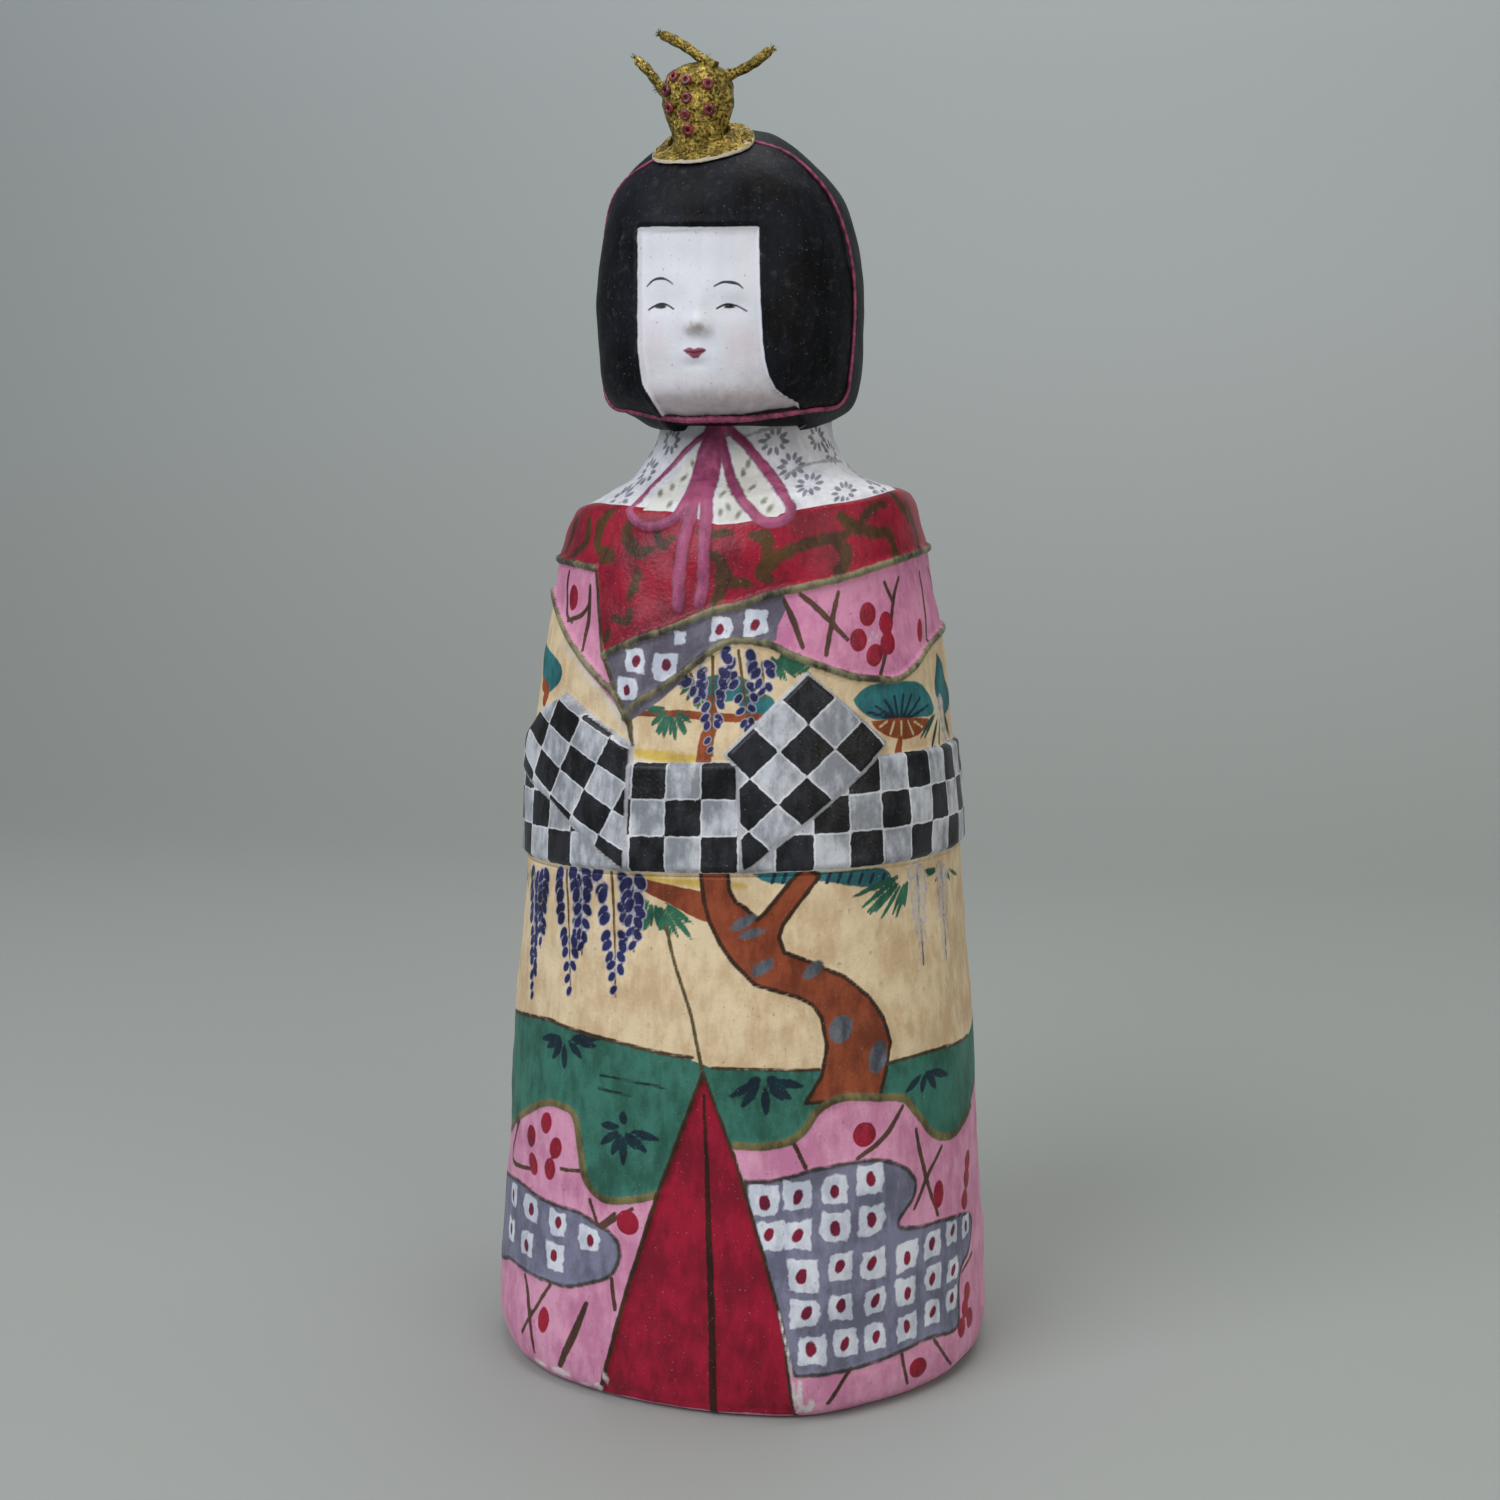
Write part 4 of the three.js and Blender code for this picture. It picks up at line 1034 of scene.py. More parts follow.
# field, light, dark, roughness, softness, wobble
robeLayers = [
    ("yellow", "#d6b958", "#b8994a", 0.6, 0.5, 0.25),
    ("palePaint", "#ddd3c4", "#c4b498", 0.6, 0.6, 0.3),
    ("pineTop", "#2f787c", "#1d5258", 0.55, 0.2, 0.12),
    ("darkDab", "#153044", "#0d1f30", 0.55, 0.12, 0.06),
    ("pineFan", "#a05426", "#743616", 0.55, 0.15, 0.1),
    ("fanGap", "#d9c6a2", "#c2ac80", 0.6, 0.12, 0.05),
    ("branch", "#9c4c22", "#6e3014", 0.5, 0.15, 0.12),
    ("needle", "#337054", "#174a3a", 0.5, 0.14, 0.08),
    ("needleDark", "#1c5244", "#10342e", 0.5, 0.14, 0.08),
    ("hill", "#3a7566", "#265648", 0.5, 0.15, 0.12),
    ("thinDark", "#142a26", "#0d1d18", 0.5, 0.2, 0.1),
    ("leaf", "#11303a", "#0a1c28", 0.45, 0.15, 0.1),
    ("trunk", "#94482a", "#6c3019", 0.45, 0.15, 0.1),
    ("trunkEdge", "#3e2414", "#26180c", 0.45, 0.18, 0.1),
    ("knotHole", "#6c7078", "#40444c", 0.5, 0.25, 0.15),
    ("whiteWisteria", "#d8c6a4", "#bfa682", 0.5, 0.12, 0.08),
    ("stem", "#685434", "#4a3a1e", 0.55, 0.12, 0.06),
    ("petalRim", "#bdbbc6", "#8d8b9c", 0.5, 0.12, 0.08),
    ("wisteria", "#2c2c60", "#101230", 0.42, 0.12, 0.08),
    ("frontSeam", "#5c5230", "#383018", 0.5, 0.15, 0.06),
    ("pinkHem", "#dc9cb8", "#c47c9e", 0.5, 0.15, 0.1),
    ("pinkCollar", "#d890b0", "#be7398", 0.5, 0.12, 0.06),
    ("lapelPink", "#da98b4", "#c47c9c", 0.5, 0.12, 0.06),
    ("greyCloth", "#746f7e", "#575260", 0.5, 0.14, 0.08),
    ("greyCloud", "#82829a", "#636376", 0.5, 0.16, 0.1),
    ("cloudEdge", "#4e4842", "#322e2e", 0.5, 0.25, 0.15),
    ("twig", "#5c4032", "#3c281e", 0.5, 0.14, 0.1),
    ("plum", "#a01834", "#6c0c20", 0.38, 0.12, 0.08),
    ("plumCentre", "#c4bcc2", "#948894", 0.5, 0.12, 0.08),
    ("knotWhite", "#dfe2ea", "#b8becb", 0.5, 0.2, 0.34),
    ("knotHeart", "#8a1836", "#5e1030", 0.4, 0.14, 0.18),
    ("giltLine", "#7c724a", "#463f26", 0.42, 0.2, 0.12),
    ("gore", "#a01232", "#7c0c26", 0.36, 0.12, 0.06),
    ("goreSeam", "#3e180f", "#280e06", 0.4, 0.14, 0.1),
    ("goreEdge", "#4c321e", "#302010", 0.5, 0.16, 0.1),
    ("brownLine", "#4e3e28", "#32281c", 0.5, 0.18, 0.12),
    ("redCollar", "#9e1531", "#720f24", 0.36, 0.12, 0.06),
    ("scroll", "#553a1c", "#3a1d12", 0.42, 0.4, 0.4),
    ("neckCloth", "#e4e4e8", "#c9c8ce", 0.6, 0.12, 0.06),
    ("floret", "#8e919c", "#6a6c78", 0.6, 0.12, 0.06),
    ("faintLine", "#aaaaae", "#8c8c90", 0.6, 0.25, 0.15),
    ("bowCream", "#dddcd6", "#cbc9c0", 0.6, 0.12, 0.06),
    ("creamSpeck", "#8f9080", "#6c6e62", 0.6, 0.3, 0.15),
    ("sash", "#c9ccd2", "#85888f", 0.4, 0.12, 0.05),
    ("squareRim", "#e2e3e6", "#b9bbc0", 0.4, 0.12, 0.16),
    ("blackSquare", "#2a2b31", "#060607", 0.38, 0.1, 0.16),
    ("foldEdge", "#c2c3c6", "#98999e", 0.4, 0.15, 0.1),
    ("pipingThin", "#665a3c", "#362e1c", 0.45, 0.2, 0.1),
    ("piping", "#8b8566", "#38332a", 0.42, 0.2, 0.16),
    ("cordEdge", "#8a5c6c", "#5e3a4a", 0.5, 0.3, 0.2),
    ("cord", "#ac567a", "#7c3556", 0.42, 0.12, 0.06),
    ("worn", "#e2dadb", "#c0adb0", 0.65, 0.2, 0.2),
]


# gofun, a ground of ground shell in glue, under opaque water-based paint: satin, with brush marks
paintedGofun = brushPaint("gofunAndPigment", robeLayers, ("#e2cda8", "#caae88", 0.55), (1, 1, 0.42), 0.45,
    0.28)
for name, rows in [("painted_skirt", slice(0, cutRow + 1)), ("painted_robe", slice(cutRow, None))]:
    makeRobe(name, rows).data.materials.append(paintedGofun)

# The head: hair cut square round a face that is set a little deeper
headGrid = {"frontSpan": 36, "sideSpan": 112, "frontStep": 0.5, "sideStep": 1.1, "backStep": 3.5,
            "faceFrom": 196, "faceTo": 222, "fineStep": 0.25, "step": 0.7}


def headTurns():
    g = headGrid
    front, far = g["frontSpan"], g["sideSpan"]
    return np.concatenate([
        np.arange(-front, front, g["frontStep"]), np.arange(front, far, g["sideStep"]),
        np.arange(far, 360 - far, g["backStep"]), np.arange(360 - far, 360 - front, g["sideStep"])])


headRowWidth, headRowZ = spacedRows(
    headOutline + [0, headForm["base"]],
    lambda z: headGrid["fineStep"] if headGrid["faceFrom"] < z < headGrid["faceTo"] else headGrid["step"])
headTurn, headRows = np.meshgrid(headTurns(), headRowZ)
headPoints = headPoint(headTurn, headRowWidth[:, None], headRows)
seenFromFront = headPoints[..., [0, 2]].copy()
seenFromFront[np.cos(np.radians(headTurn)) < 0.3] = (99, 99)
head = newSheet(seenFromFront)


def onFace(*pixels):
    turn, z = meet(pixels, senseHead)
    return headPoint(turn, headWidth(z), z)[:, [0, 2]]


window = np.vstack([onFace((637, 227), (680, 226.5), (725, 226.5), (759, 226), (759.5, 267), (761, 310),
    (762.6, 343), (765, 360), (769, 376), (776, 389), (785, 397), (799, 405)),
    [(15, 186.5), (8, 180), (-8.5, 180)], onFace((655, 404), (648, 394), (643, 384), (641, 372),
    (638.5, 343), (637.5, 280))])
patch(head, "face", window)
for name, pixels, *how in [
    ("brow", [(643.5, 285.5), (650, 279.5), (657.5, 277.4), (664, 278.6), (670.5, 283)],
        [0.17, 0.27, 0.16]),
    ("brow", [(713, 285.5), (722, 281.2), (731, 281.6), (738, 283.4), (743, 287.5)], [0.17, 0.27, 0.16]),
    ("eye", [(645, 309.5), (650, 306.3), (657, 303.4), (664, 304.2), (671.5, 308.5)], [0.14, 0.26, 0.18]),
    ("eye", [(715.5, 308), (722, 304.6), (728, 303.6), (737, 305.4), (747, 310.5)], [0.16, 0.26, 0.14]),
    ("pupil", [(653, 306.4), (658, 305.8), (663, 306.2)], [0.2, 0.38, 0.2]),
    ("pupil", [(724, 306.2), (729, 305.6), (734, 306.2)], [0.2, 0.38, 0.2]),
]:
    stroke(head, name, onFace(*pixels), *how)
patch(head, "lip", onFace((681.5, 350), (687, 347.6), (692.5, 349), (698, 347.4), (704.5, 349.6),
    (700, 354), (696.5, 358), (691.5, 358.5), (687.5, 355)), True)
stroke(head, "lipLine", onFace((682, 350.5), (693, 352.3), (704, 350.3)), [0.12, 0.2, 0.12])
petal(head, "noseSmudge", onFace((693.5, 327.5))[0], 0.8, 1.5)
petal(head, "rouge", onFace((742, 345))[0], 4.2, 3.4)
petal(head, "rouge", onFace((652, 345))[0], 4.2, 2.6)

# The chin cord, as shares of the head's height at degrees round it.
# Below it the face is painted dark, as painted shadow and as hair, and above it the jaw is painted darker
# downwards as painted shade.
chinCord = {"lift": 0.12, "thick": [0.58, 0.6, 0.66, 0.85, 1.25], "herLeft": [(22, 0.925), (35, 0.908),
    (54, 0.875), (67, 0.774), (73.5, 0.653), (78, 0.5), (77.5, 0.31), (77, 0.2), (78, 0.13), (73, 0.085),
    (58, 0.069), (40, 0.048), (22, 0.033), (0, 0.03)], "herRight": [(-24, 0.9), (-36, 0.853), (-50, 0.818),
    (-62, 0.77), (-76, 0.68), (-84, 0.5), (-84, 0.31), (-80, 0.17), (-70, 0.08), (-49, 0.059),
    (-32, 0.038), (-15, 0.028), (0, 0.03)]}
jaw = {"inside": 0.2, "shadeFrom": 194.5, "shadeMost": 3, "cover": -0.6, "corner": (-62, 0.09)}
underTurns, underShares = zip(*sorted([jaw["corner"], *chinCord["herRight"][-4:-1],
    *chinCord["herLeft"][-4:]]))
underCord = headForm["base"] + headForm["height"] * np.interp(signed(headTurn), underTurns, underShares)
covered = paintOf(head, "face") > jaw["cover"]
inFace = paintOf(head, "face") > jaw["inside"]
jawShade = np.clip(jaw["shadeFrom"] - headRows.ravel(), farAway, jaw["shadeMost"])
head["paint"]["rouge"] = np.where(inFace, paintOf(head, "rouge"), farAway)
# painted shadow below the chin cord, nearly as dark as the hair
head["paint"]["underJawShadowAndHair"] = np.where(covered, (underCord - headRows).ravel(), farAway)
head["paint"]["jawShade"] = np.where(inFace, jawShade, farAway)
print("face painted")

# Swells and hollows of the face: pixel of the middle, half width, half height, how far it stands out
faceSwells = [((697, 324), 2.0, 1.7, 1.5), ((696.5, 308), 1.5, 4.0, 0.55), ((687, 329), 1.0, 0.9, 0.35),
    ((706, 329), 1.0, 0.9, 0.35), ((657, 306), 3.2, 2.0, -0.4), ((731, 306), 3.2, 2.0, -0.4),
    ((693, 353), 2.7, 1.5, 0.4), ((693, 366), 2.4, 1.0, -0.3), ((694, 388), 5.2, 3.0, 0.55),
    ((657, 340), 3.6, 4.4, 0.4), ((737, 342), 4.2, 4.6, 0.45), ((694, 338), 0.7, 1.3, -0.25)]


headRelief = {"sunk": 0.15, "skin": [(0.16, 22, 21), (0.05, 6, 22)], "edgeHigh": 0.28, "edgeAt": 0.75,
    "edgeSpread": 0.6}


def makeHead():
    r = headRelief
    face = head["paint"]["face"].reshape(headTurn.shape)
    off = uneven(headPoints, r["skin"]) - r["sunk"]
    off -= (headForm["faceInset"] - r["sunk"]) * ease(face, -0.05, 0.4)
    off += r["edgeHigh"] * np.exp(-((face + r["edgeAt"]) / r["edgeSpread"]) ** 2)
    for pixel, across, tall, out in faceSwells:
        x, z = onFace(pixel)[0]
        dx, dz = seenFromFront[..., 0] - x, seenFromFront[..., 1] - z
        off += out * np.exp(-((dx / across) ** 2) - (dz / tall) ** 2)
    points = headPoints + normalsOf(headPoints) * off[..., None]
    piece = gridMesh("painted_head", points, head["paint"])
    dress(piece, "painted_papier_mache", "figure")
    return piece


headLayers = [
    ("face", "#e3e3e9", "#dcdde4", 0.6, 0.1, 0.05),
    ("rouge", "#e1dae0", "#dad3da", 0.6, 2.0, 0.8),
    # painted shade on the lower jaw, and below the cord painted shadow and hair
    ("jawShade", "#d2cbd0", "#bdb2b2", 0.6, 4.0, 1.0),
    ("underJawShadowAndHair", "#1e1a1c", "#0c0b0d", 0.6, 0.2, 0.1),
    ("noseSmudge", "#c0b3ae", "#a39690", 0.6, 0.9, 0.5),
    ("lip", "#a2606e", "#884656", 0.45, 0.2, 0.2),
    ("lipLine", "#6c3642", "#542630", 0.45, 0.12, 0.05),
    ("brow", "#4a4c54", "#30323a", 0.5, 0.1, 0.05),
    ("eye", "#3c3a40", "#24242a", 0.5, 0.1, 0.04),
    ("pupil", "#3c3c3c", "#1c1c1e", 0.4, 0.16, 0.06),
]


# ink-black hair brushed over gofun in upright strokes, with a dull sheen; the face is bare gofun, rubbed smooth
headPiece = makeHead()
headPiece.data.materials.append(
    brushPaint("inkOverGofun", headLayers, ("#11141d", "#020204", 0.52), (1, 1, 0.16), 0.3, 0.14))
print("head made,", len(headPiece.data.polygons) * 2, "triangles")


# Cords and small repeated parts are grown by geometry nodes
def newTree(name, sizes):
    tree = bpy.data.node_groups.new(name, "GeometryNodeTree")
    tree.interface.new_socket("Geometry", in_out="INPUT", socket_type="NodeSocketGeometry")
    for label, value in sizes.items():
        kind = "NodeSocketInt" if isinstance(value, int) else "NodeSocketFloat"
        tree.interface.new_socket(label, in_out="INPUT", socket_type=kind).default_value = value
    tree.interface.new_socket("Geometry", in_out="OUTPUT", socket_type="NodeSocketGeometry")
    return tree, addNode(tree, "NodeGroupInput").outputs


def finishTree(tree, geometry, material):
    whole = addNode(tree, "GeometryNodeRealizeInstances", inputs={0: geometry})
    smooth = addNode(tree, "GeometryNodeSetShadeSmooth", inputs={0: whole.outputs[0]})
    coated = addNode(tree, "GeometryNodeSetMaterial", inputs={0: smooth.outputs[0], 2: material})
    addNode(tree, "NodeGroupOutput", inputs={0: coated.outputs[0]})


def grow(name, source, tree, sizes):
    bpy.context.scene.collection.objects.link(source)
    modifier = source.modifiers.new(tree.name, "NODES")
    modifier.node_group = tree
    for item in tree.interface.items_tree:
        if item.name in sizes:
            modifier[item.identifier] = sizes[item.name]
    ready = source.evaluated_get(bpy.context.evaluated_depsgraph_get())
    mesh = bpy.data.meshes.new_from_object(ready)
    source.modifiers.remove(modifier)
    bpy.data.objects.remove(source)
    piece = bpy.data.objects.new(name, mesh)
    bpy.context.scene.collection.objects.link(piece)
    return piece


cordSizes = {"Steps": 90, "Lobes": 5, "Radius": 0.6 * mm, "Lobe Depth": 0.86, "Turns": 120.0,
             "Roughness": 0.1 * mm, "Grain": 900.0, "Seed": 0.0}


def cordTree(name, material):
    # a lobed section turned along the path, with an uneven skin
    tree, given = newTree(name, cordSizes)
    even = addNode(tree, "GeometryNodeResampleCurve", inputs={0: given["Geometry"], 2: given["Steps"]})
    along = addNode(tree, "GeometryNodeSplineParameter").outputs["Length"]
    angle = combined(tree, "MULTIPLY", combined(tree, "MULTIPLY", along, given["Turns"]), 2 * math.pi)
    wound = addNode(tree, "GeometryNodeSetCurveTilt", inputs={0: even.outputs[0], 2: angle})
    inner = combined(tree, "MULTIPLY", given["Radius"], given["Lobe Depth"])
    section = addNode(tree, "GeometryNodeCurveStar", inputs={
        0: given["Lobes"], 1: inner, 2: given["Radius"], 3: 0.0})
    thick = addNode(tree, "GeometryNodeInputRadius").outputs[0]
    swept = addNode(tree, "GeometryNodeCurveToMesh", inputs={
        0: wound.outputs[0], 1: section.outputs[0], 2: thick, 3: True})
    grain = addNode(tree, "ShaderNodeTexNoise", {"noise_dimensions": "4D"}, {
        "W": given["Seed"], "Scale": given["Grain"], "Detail": 2})
    depth = combined(tree, "MULTIPLY", combined(tree, "SUBTRACT", grain.outputs[0], 0.5),
        given["Roughness"])
    outward = addNode(tree, "GeometryNodeInputNormal").outputs[0]
    push = addNode(tree, "ShaderNodeVectorMath", {"operation": "SCALE"}, {0: outward, 3: depth})
    rough = addNode(tree, "GeometryNodeSetPosition", inputs={0: swept.outputs[0], 3: push.outputs[0]})
    finishTree(tree, rough.outputs[0], material)
    return tree


def pathCurve(name, routes):
    # each route is a list of points with a share of the full thickness at the end of each
    data = bpy.data.curves.new(name, "CURVE")
    data.dimensions = "3D"
    for route in routes:
        spline = data.splines.new("POLY")
        spline.points.add(len(route) - 1)
        for point, (x, y, z, thick) in zip(spline.points, route):
            point.co, point.radius = (x * mm, y * mm, z * mm, 1), thick
    return bpy.data.objects.new(name, data)


def chinCordRoute(side):
    stations = curveThrough([(turn, share * headForm["height"]) for turn, share in chinCord[side]], 10)
    z = headForm["base"] + stations[:, 1]
    points = headPoint(stations[:, 0], headWidth(z) + chinCord["lift"], z)
    even = np.linspace(0, 1, len(points))
    thick = np.interp(even, np.linspace(0, 1, len(chinCord["thick"])), chinCord["thick"])
    return np.column_stack([points, thick]).tolist()


# paper cord laid on the hair and painted over in rose: dull, with the dark ground in its grooves
cordLook = {"patch": 1.5, "detail": 5, "from": 0.35, "to": 0.62, "dark": "#5c2038", "light": "#a8486c",
            "bump": 0.3, "relief": 0.2, "roughness": 0.5}
paintedCord = mottledMaterial("paintedPaperCord", cordLook)[0]
chinPiece = grow("chin_cord", pathCurve("chinPath", [chinCordRoute("herLeft"), chinCordRoute("herRight")]),
                 cordTree("woundCord", paintedCord), cordSizes)
dress(chinPiece, "painted_papier_mache", "figure")
print("chin cord laid")

# The crown: foil pressed over a cup, on a flange of paper that follows the hair
crownForm = {"centre": (-3.8, -19.5), "halfWidth": 7, "halfDepth": 5.6, "height": 17.2,
    "flangeCentre": (-2.6, -20.5), "flange": (9.9, 6.8), "gap": 0.3, "thickness": 0.8,
    "skin": [(0.2, 4.5, 31), (0.11, 1.8, 32)], "sunk": 0.22, "rimSmooth": 0.7, "step": 2.5, "rowStep": 0.35,
             "neckShare": 0.12, "climbPower": 1.5, "climbFrom": 0.03, "climbs": 16, "cupFrom": 0.135,
             "underSizes": (0.93, 0.98), "rimLifts": (0.35, 0.6, 0.85, 1.0)}
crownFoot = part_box("crown")[1][2] / mm - crownForm["height"]
crownOutline = curveThrough([
    (1.06, -0.2), (0.93, 0), (0.79, 0.12), (0.77, 0.2), (0.83, 0.3), (0.91, 0.4), (0.98, 0.5), (1, 0.6),
    (0.985, 0.72), (0.93, 0.83), (0.76, 0.92), (0.42, 0.985), (0.1, 1)], 12)


def hairTop(x, y):
    across = np.abs(x - headForm["centre"][0])
    deep = np.abs(y - headForm["centre"][1]) / headForm["topDepth"]
    reach = (across ** headForm["squareness"] + deep ** headForm["squareness"]) ** (
        1 / headForm["squareness"])
    upper = headOutline[headOutline[:, 1] > 0.5 * headForm["height"]][::-1]
    return headForm["base"] + np.interp(reach, upper[:, 0], upper[:, 1])


def crownPoint(turn, share):
    c = crownForm
    width = np.interp(share, crownOutline[:, 1], crownOutline[:, 0])
    a = np.radians(turn)
    return np.stack([c["centre"][0] + c["halfWidth"] * width * np.sin(a) + 0 * share,
                     c["centre"][1] - c["halfDepth"] * width * np.cos(a) + 0 * share,
                     crownFoot + c["height"] * share + 0 * a], -1)


def makeCrown():
    c = crownForm
    turn = np.arange(0, 360, c["step"])
    a = np.radians(turn)
    rows = []

    def flangeRing(size, lift, climb=0.0):
        neck = crownPoint(turn, c["neckShare"] + 0 * turn)
        x = c["flangeCentre"][0] + size * c["flange"][0] * np.sin(a)
        y = c["flangeCentre"][1] - size * c["flange"][1] * np.cos(a)
        rim = np.stack([x, y, hairTop(x, y) + lift], -1)
        slope = climb ** c["climbPower"]
        flat, up = np.array([climb, climb, slope]), np.array([1 - climb, 1 - climb, 1 - slope])
        row = rim * up + neck * flat
        if climb < 1:
            row[:, 2] = np.maximum(row[:, 2], hairTop(row[:, 0], row[:, 1]) + lift)
        rows.append(row)

    for size in c["underSizes"]:
        flangeRing(size, c["gap"])
    for lift in c["rimLifts"]:
        flangeRing(1, lift)
    rimRows = len(rows)
    for climb in np.linspace(c["climbFrom"], 1, c["climbs"]):
        flangeRing(1, c["gap"] + c["thickness"], climb)
    _, cupRows = spacedRows(crownOutline * [c["halfWidth"], c["height"]], lambda z: c["rowStep"])
    for z in cupRows[cupRows > c["cupFrom"] * c["height"]]:
        rows.append(crownPoint(turn, z / c["height"] + 0 * turn))
    rims = np.where(np.arange(len(rows)) < rimRows, 1.0, 0.0)
    points = np.array(rows)
    crumple = (uneven(points, c["skin"]) - c["sunk"]) * (1 - c["rimSmooth"] * rims[:, None])
    points = points + normalsOf(points) * crumple[..., None]
    return gridMesh("gilt_crown", points, {"rim": np.repeat(rims, len(turn))})


def giltMaterial(name, scale=1.0):
    # metal foil over paper, crumpled and pressed down with a brush: bright flecks between dull brown ones
    material, tree, shader, where = newMaterial(name)
    flecks = noise(tree, where, 0.7 * scale, 5, 0.75)
    gold = mixed(tree, ranged(tree, flecks, 0.42, 0.58), hexColour("#43330f"), hexColour("#e0c468"))
    dull = ranged(tree, noise(tree, where, 3.2, 3), 0.45, 0.66, toHigh=0.7)
    brown = mixed(tree, dull, gold, hexColour("#4f431f"))
    rim = addNode(tree, "ShaderNodeAttribute", {"attribute_name": "rim"}).outputs["Fac"]
    bare = ranged(tree, rim, 0.45, 0.6)
    setInputs(tree, shader, {"Base Color": mixed(tree, bare, brown, hexColour("#cfc4b0")),
        "Metallic": combined(tree, "SUBTRACT", 1.0, bare),
        "Roughness": ranged(tree, flecks, 0.4, 0.6, 0.5, 0.2), "Normal": bumped(tree, flecks, 0.9, 0.5)})
    return material


crownPiece = makeCrown()
crownPiece.data.materials.append(giltMaterial("crumpledGiltFoil"))
dress(crownPiece, "gilt_paper", "crown")
print("crown made")

# Three prongs of gilt paper cord: degrees round the cup, share of its height, reach and bend
prongs = {
    "left": {"turn": -82, "share": 0.73, "reach": (-5.6, 0.2, 6.3), "bend": 0.4},
    "middle": {"turn": 38, "share": 0.97, "reach": (-9.7, 1.2, 6.2), "bend": 0.5},
    "right": {"turn": 88, "share": 0.85, "reach": (8.4, -0.6, 4.3), "bend": -0.5},
}
prongSizes = {**cordSizes, "Steps": 40, "Lobes": 6, "Radius": 1.0 * mm, "Lobe Depth": 0.87, "Turns": 60.0,
              "Roughness": 0.4 * mm, "Grain": 700.0}
prongForm = {"seat": 2, "short": 0.5, "steps": 8, "thickAt": [0, 0.25, 0.5, 0.8, 0.93, 1],
             "thick": [1.35, 1.1, 0.95, 1.02, 0.95, 0.6]}
# Frayed paper: at the tip it points onward, at the root it lies round the cord
frays = {
    "tip": {"length": 0.55, "spread": 0.6, "count": 16, "along": 1, "flat": 0, "gap": 0.35},
    "root": {"length": 1.7, "spread": 1.2, "count": 12, "along": -0.4, "flat": 0.6, "gap": 0.9},
}
foilCord = giltMaterial("giltPaperCord", 0.8)
prongTree = cordTree("foilCord", foilCord)
frayFrom, frayTo = [], []
for order, (name, prong) in enumerate(prongs.items()):
    root = crownPoint(np.array(prong["turn"]), np.array(prong["share"]))
    way = np.array(prong["reach"])
    unit = way / np.linalg.norm(way)
    tip = root + way - prongForm["short"] * unit
    middle = root + 0.5 * way + [0, 0, prong["bend"]]
    line = curveThrough([root - prongForm["seat"] * unit, root, middle, tip], prongForm["steps"])
    thick = np.interp(np.linspace(0, 1, len(line)), prongForm["thickAt"], prongForm["thick"])
    piece = grow("gilt_prong_" + name, pathCurve("prongPath", [np.column_stack([line, thick]).tolist()]),
                 prongTree, {**prongSizes, "Seed": float(order)})
    dress(piece, "gilt_paper_cord", "prong_" + name)
    for fray, start in zip(frays.values(), (tip, root + prongForm["short"] * unit)):
        for _ in range(fray["count"]):
            out = dabs.normal(size=3) * fray["spread"] + unit * fray["along"]
            out -= unit * (out @ unit) * fray["flat"]
            out *= fray["length"] * dabs.uniform(0.6, 1) / np.linalg.norm(out)
            frayFrom.append(start + fray["gap"] * out / np.linalg.norm(out))
            frayTo.append(out)



def seedObject(name, places, facing):
    mesh = bpy.data.meshes.new(name)
    mesh.from_pydata((np.array(places) * mm).tolist(), [], [])
    made = mesh.attributes.new("facing", "FLOAT_VECTOR", "POINT")
    made.data.foreach_set("vector", np.array(facing, np.float32).ravel())
    return bpy.data.objects.new(name, mesh)


def scatterTree(name, sizes, material, shape):
    # one small shape set on each seed point, its axis along the point's own direction
    tree, given = newTree(name, sizes)
    facing = addNode(tree, "GeometryNodeInputNamedAttribute", {"data_type": "FLOAT_VECTOR"}, {0: "facing"})
    turned = addNode(tree, "FunctionNodeAlignRotationToVector", {"axis": "Z"}, {2: facing.outputs[0]})
    size = addNode(tree, "FunctionNodeRandomValue", {"data_type": "FLOAT"}, {2: 0.88, 3: 1.1, 8: 5})
    placed = addNode(tree, "GeometryNodeInstanceOnPoints", inputs={
        0: given["Geometry"], 2: shape(tree, given), 5: turned.outputs[0], 6: size.outputs[1]})
    finishTree(tree, placed.outputs[0], material)
    return tree


def bristle(tree, given):
    return addNode(tree, "GeometryNodeMeshCone", inputs={
        0: 5, 3: given["Tip"], 4: given["Root"], 5: given["Length"]}).outputs[0]


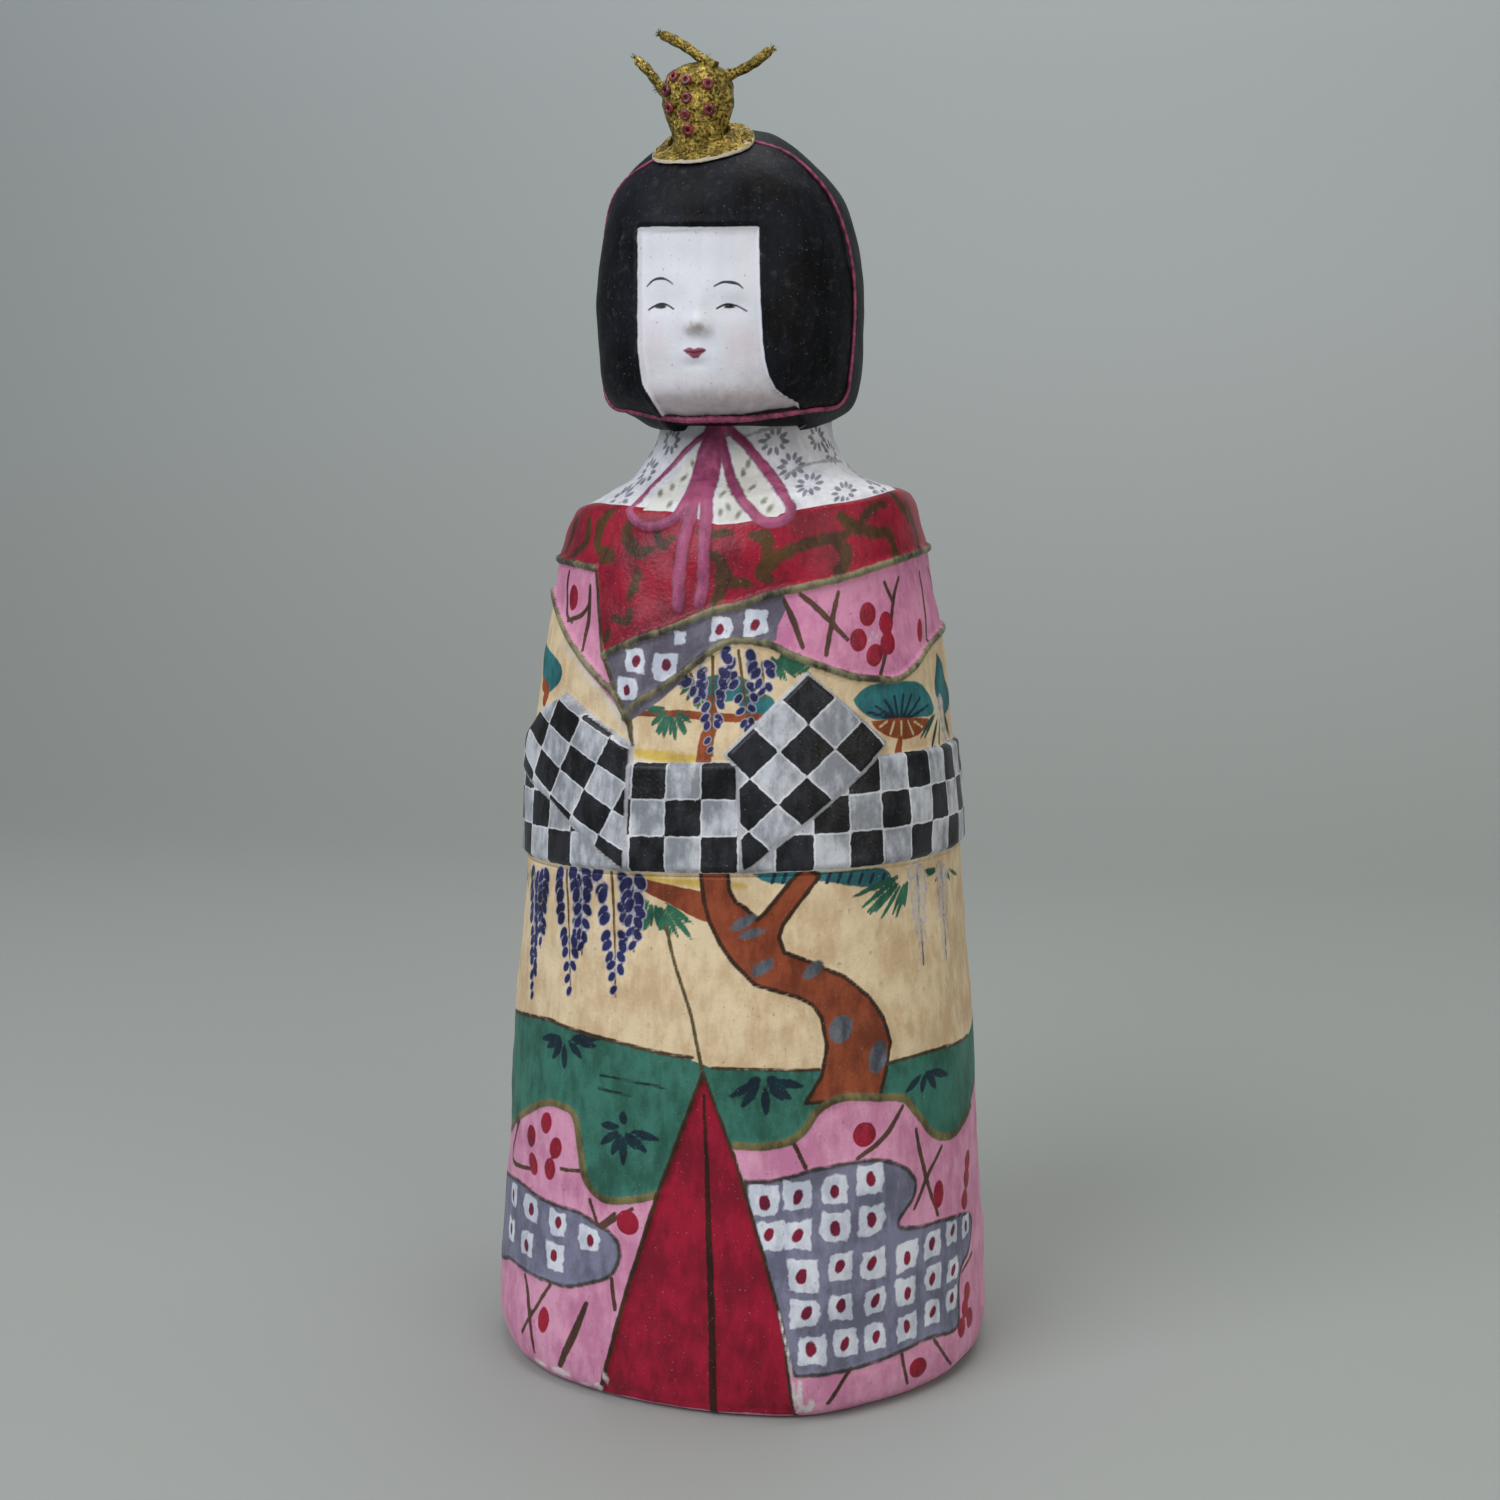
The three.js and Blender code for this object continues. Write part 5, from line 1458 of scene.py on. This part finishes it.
def bead(tree, given):
    ring = addNode(tree, "GeometryNodeCurvePrimitiveCircle", {"mode": "RADIUS"}, {0: 20, 4: given["Ring"]})
    tube = addNode(tree, "GeometryNodeCurvePrimitiveCircle", {"mode": "RADIUS"}, {0: 10, 4: given["Tube"]})
    return addNode(tree, "GeometryNodeCurveToMesh",
        inputs={0: ring.outputs[0], 1: tube.outputs[0]}).outputs[0]


bristleSizes = {"Root": 0.11 * mm, "Tip": 0.02 * mm, "Length": 0.9 * mm}
frayPiece = grow("frayed_paper", seedObject("frayPoints", frayFrom, frayTo),
            scatterTree("frayedEnds", bristleSizes, foilCord, bristle), bristleSizes)
dress(frayPiece, "gilt_paper_cord")
print("prongs and frayed ends made")

# Rose glass ring beads on the front of the cup: degrees round, share of its height
beads = [(-30, 0.8), (-46, 0.67), (-7, 0.75), (27, 0.7), (-6, 0.56), (-40, 0.48), (30, 0.44), (-10, 0.39),
    (-8, 0.24)]
beadSizes = {"Ring": 0.68 * mm, "Tube": 0.42 * mm}
beadLift = 0.3


# pressed seed glass in rose over a pearly lining: glossy, darker in the hole
beadLook = {"patch": 1.2, "detail": 3, "from": 0.36, "to": 0.62, "dark": "#3a0a10", "light": "#8e2834",
            "bump": 0.4, "relief": 0.2, "roughness": 0.22}
roseGlass, glassShader = mottledMaterial("roseSeedGlass", beadLook)
glassShader.inputs["Coat Weight"].default_value = 0.2
beadPlaces, beadFacing = [], []
for turn, share in beads:
    here = crownPoint(np.array(turn), np.array(share))
    beside = crownPoint(np.array(turn + 3.0), np.array(share)) - here
    above = crownPoint(np.array(turn), np.array(share + 0.03)) - here
    outward = np.cross(beside, above)
    outward /= np.linalg.norm(outward)
    beadPlaces.append(here + beadLift * outward)
    beadFacing.append(outward)
beadPiece = grow("rose_beads", seedObject("beadPoints", beadPlaces, beadFacing),
                 scatterTree("ringBeads", beadSizes, roseGlass, bead), beadSizes)
dress(beadPiece, "rose_glass", *["bead_%d" % (i + 1) for i in range(len(beads))])
print("beads set")
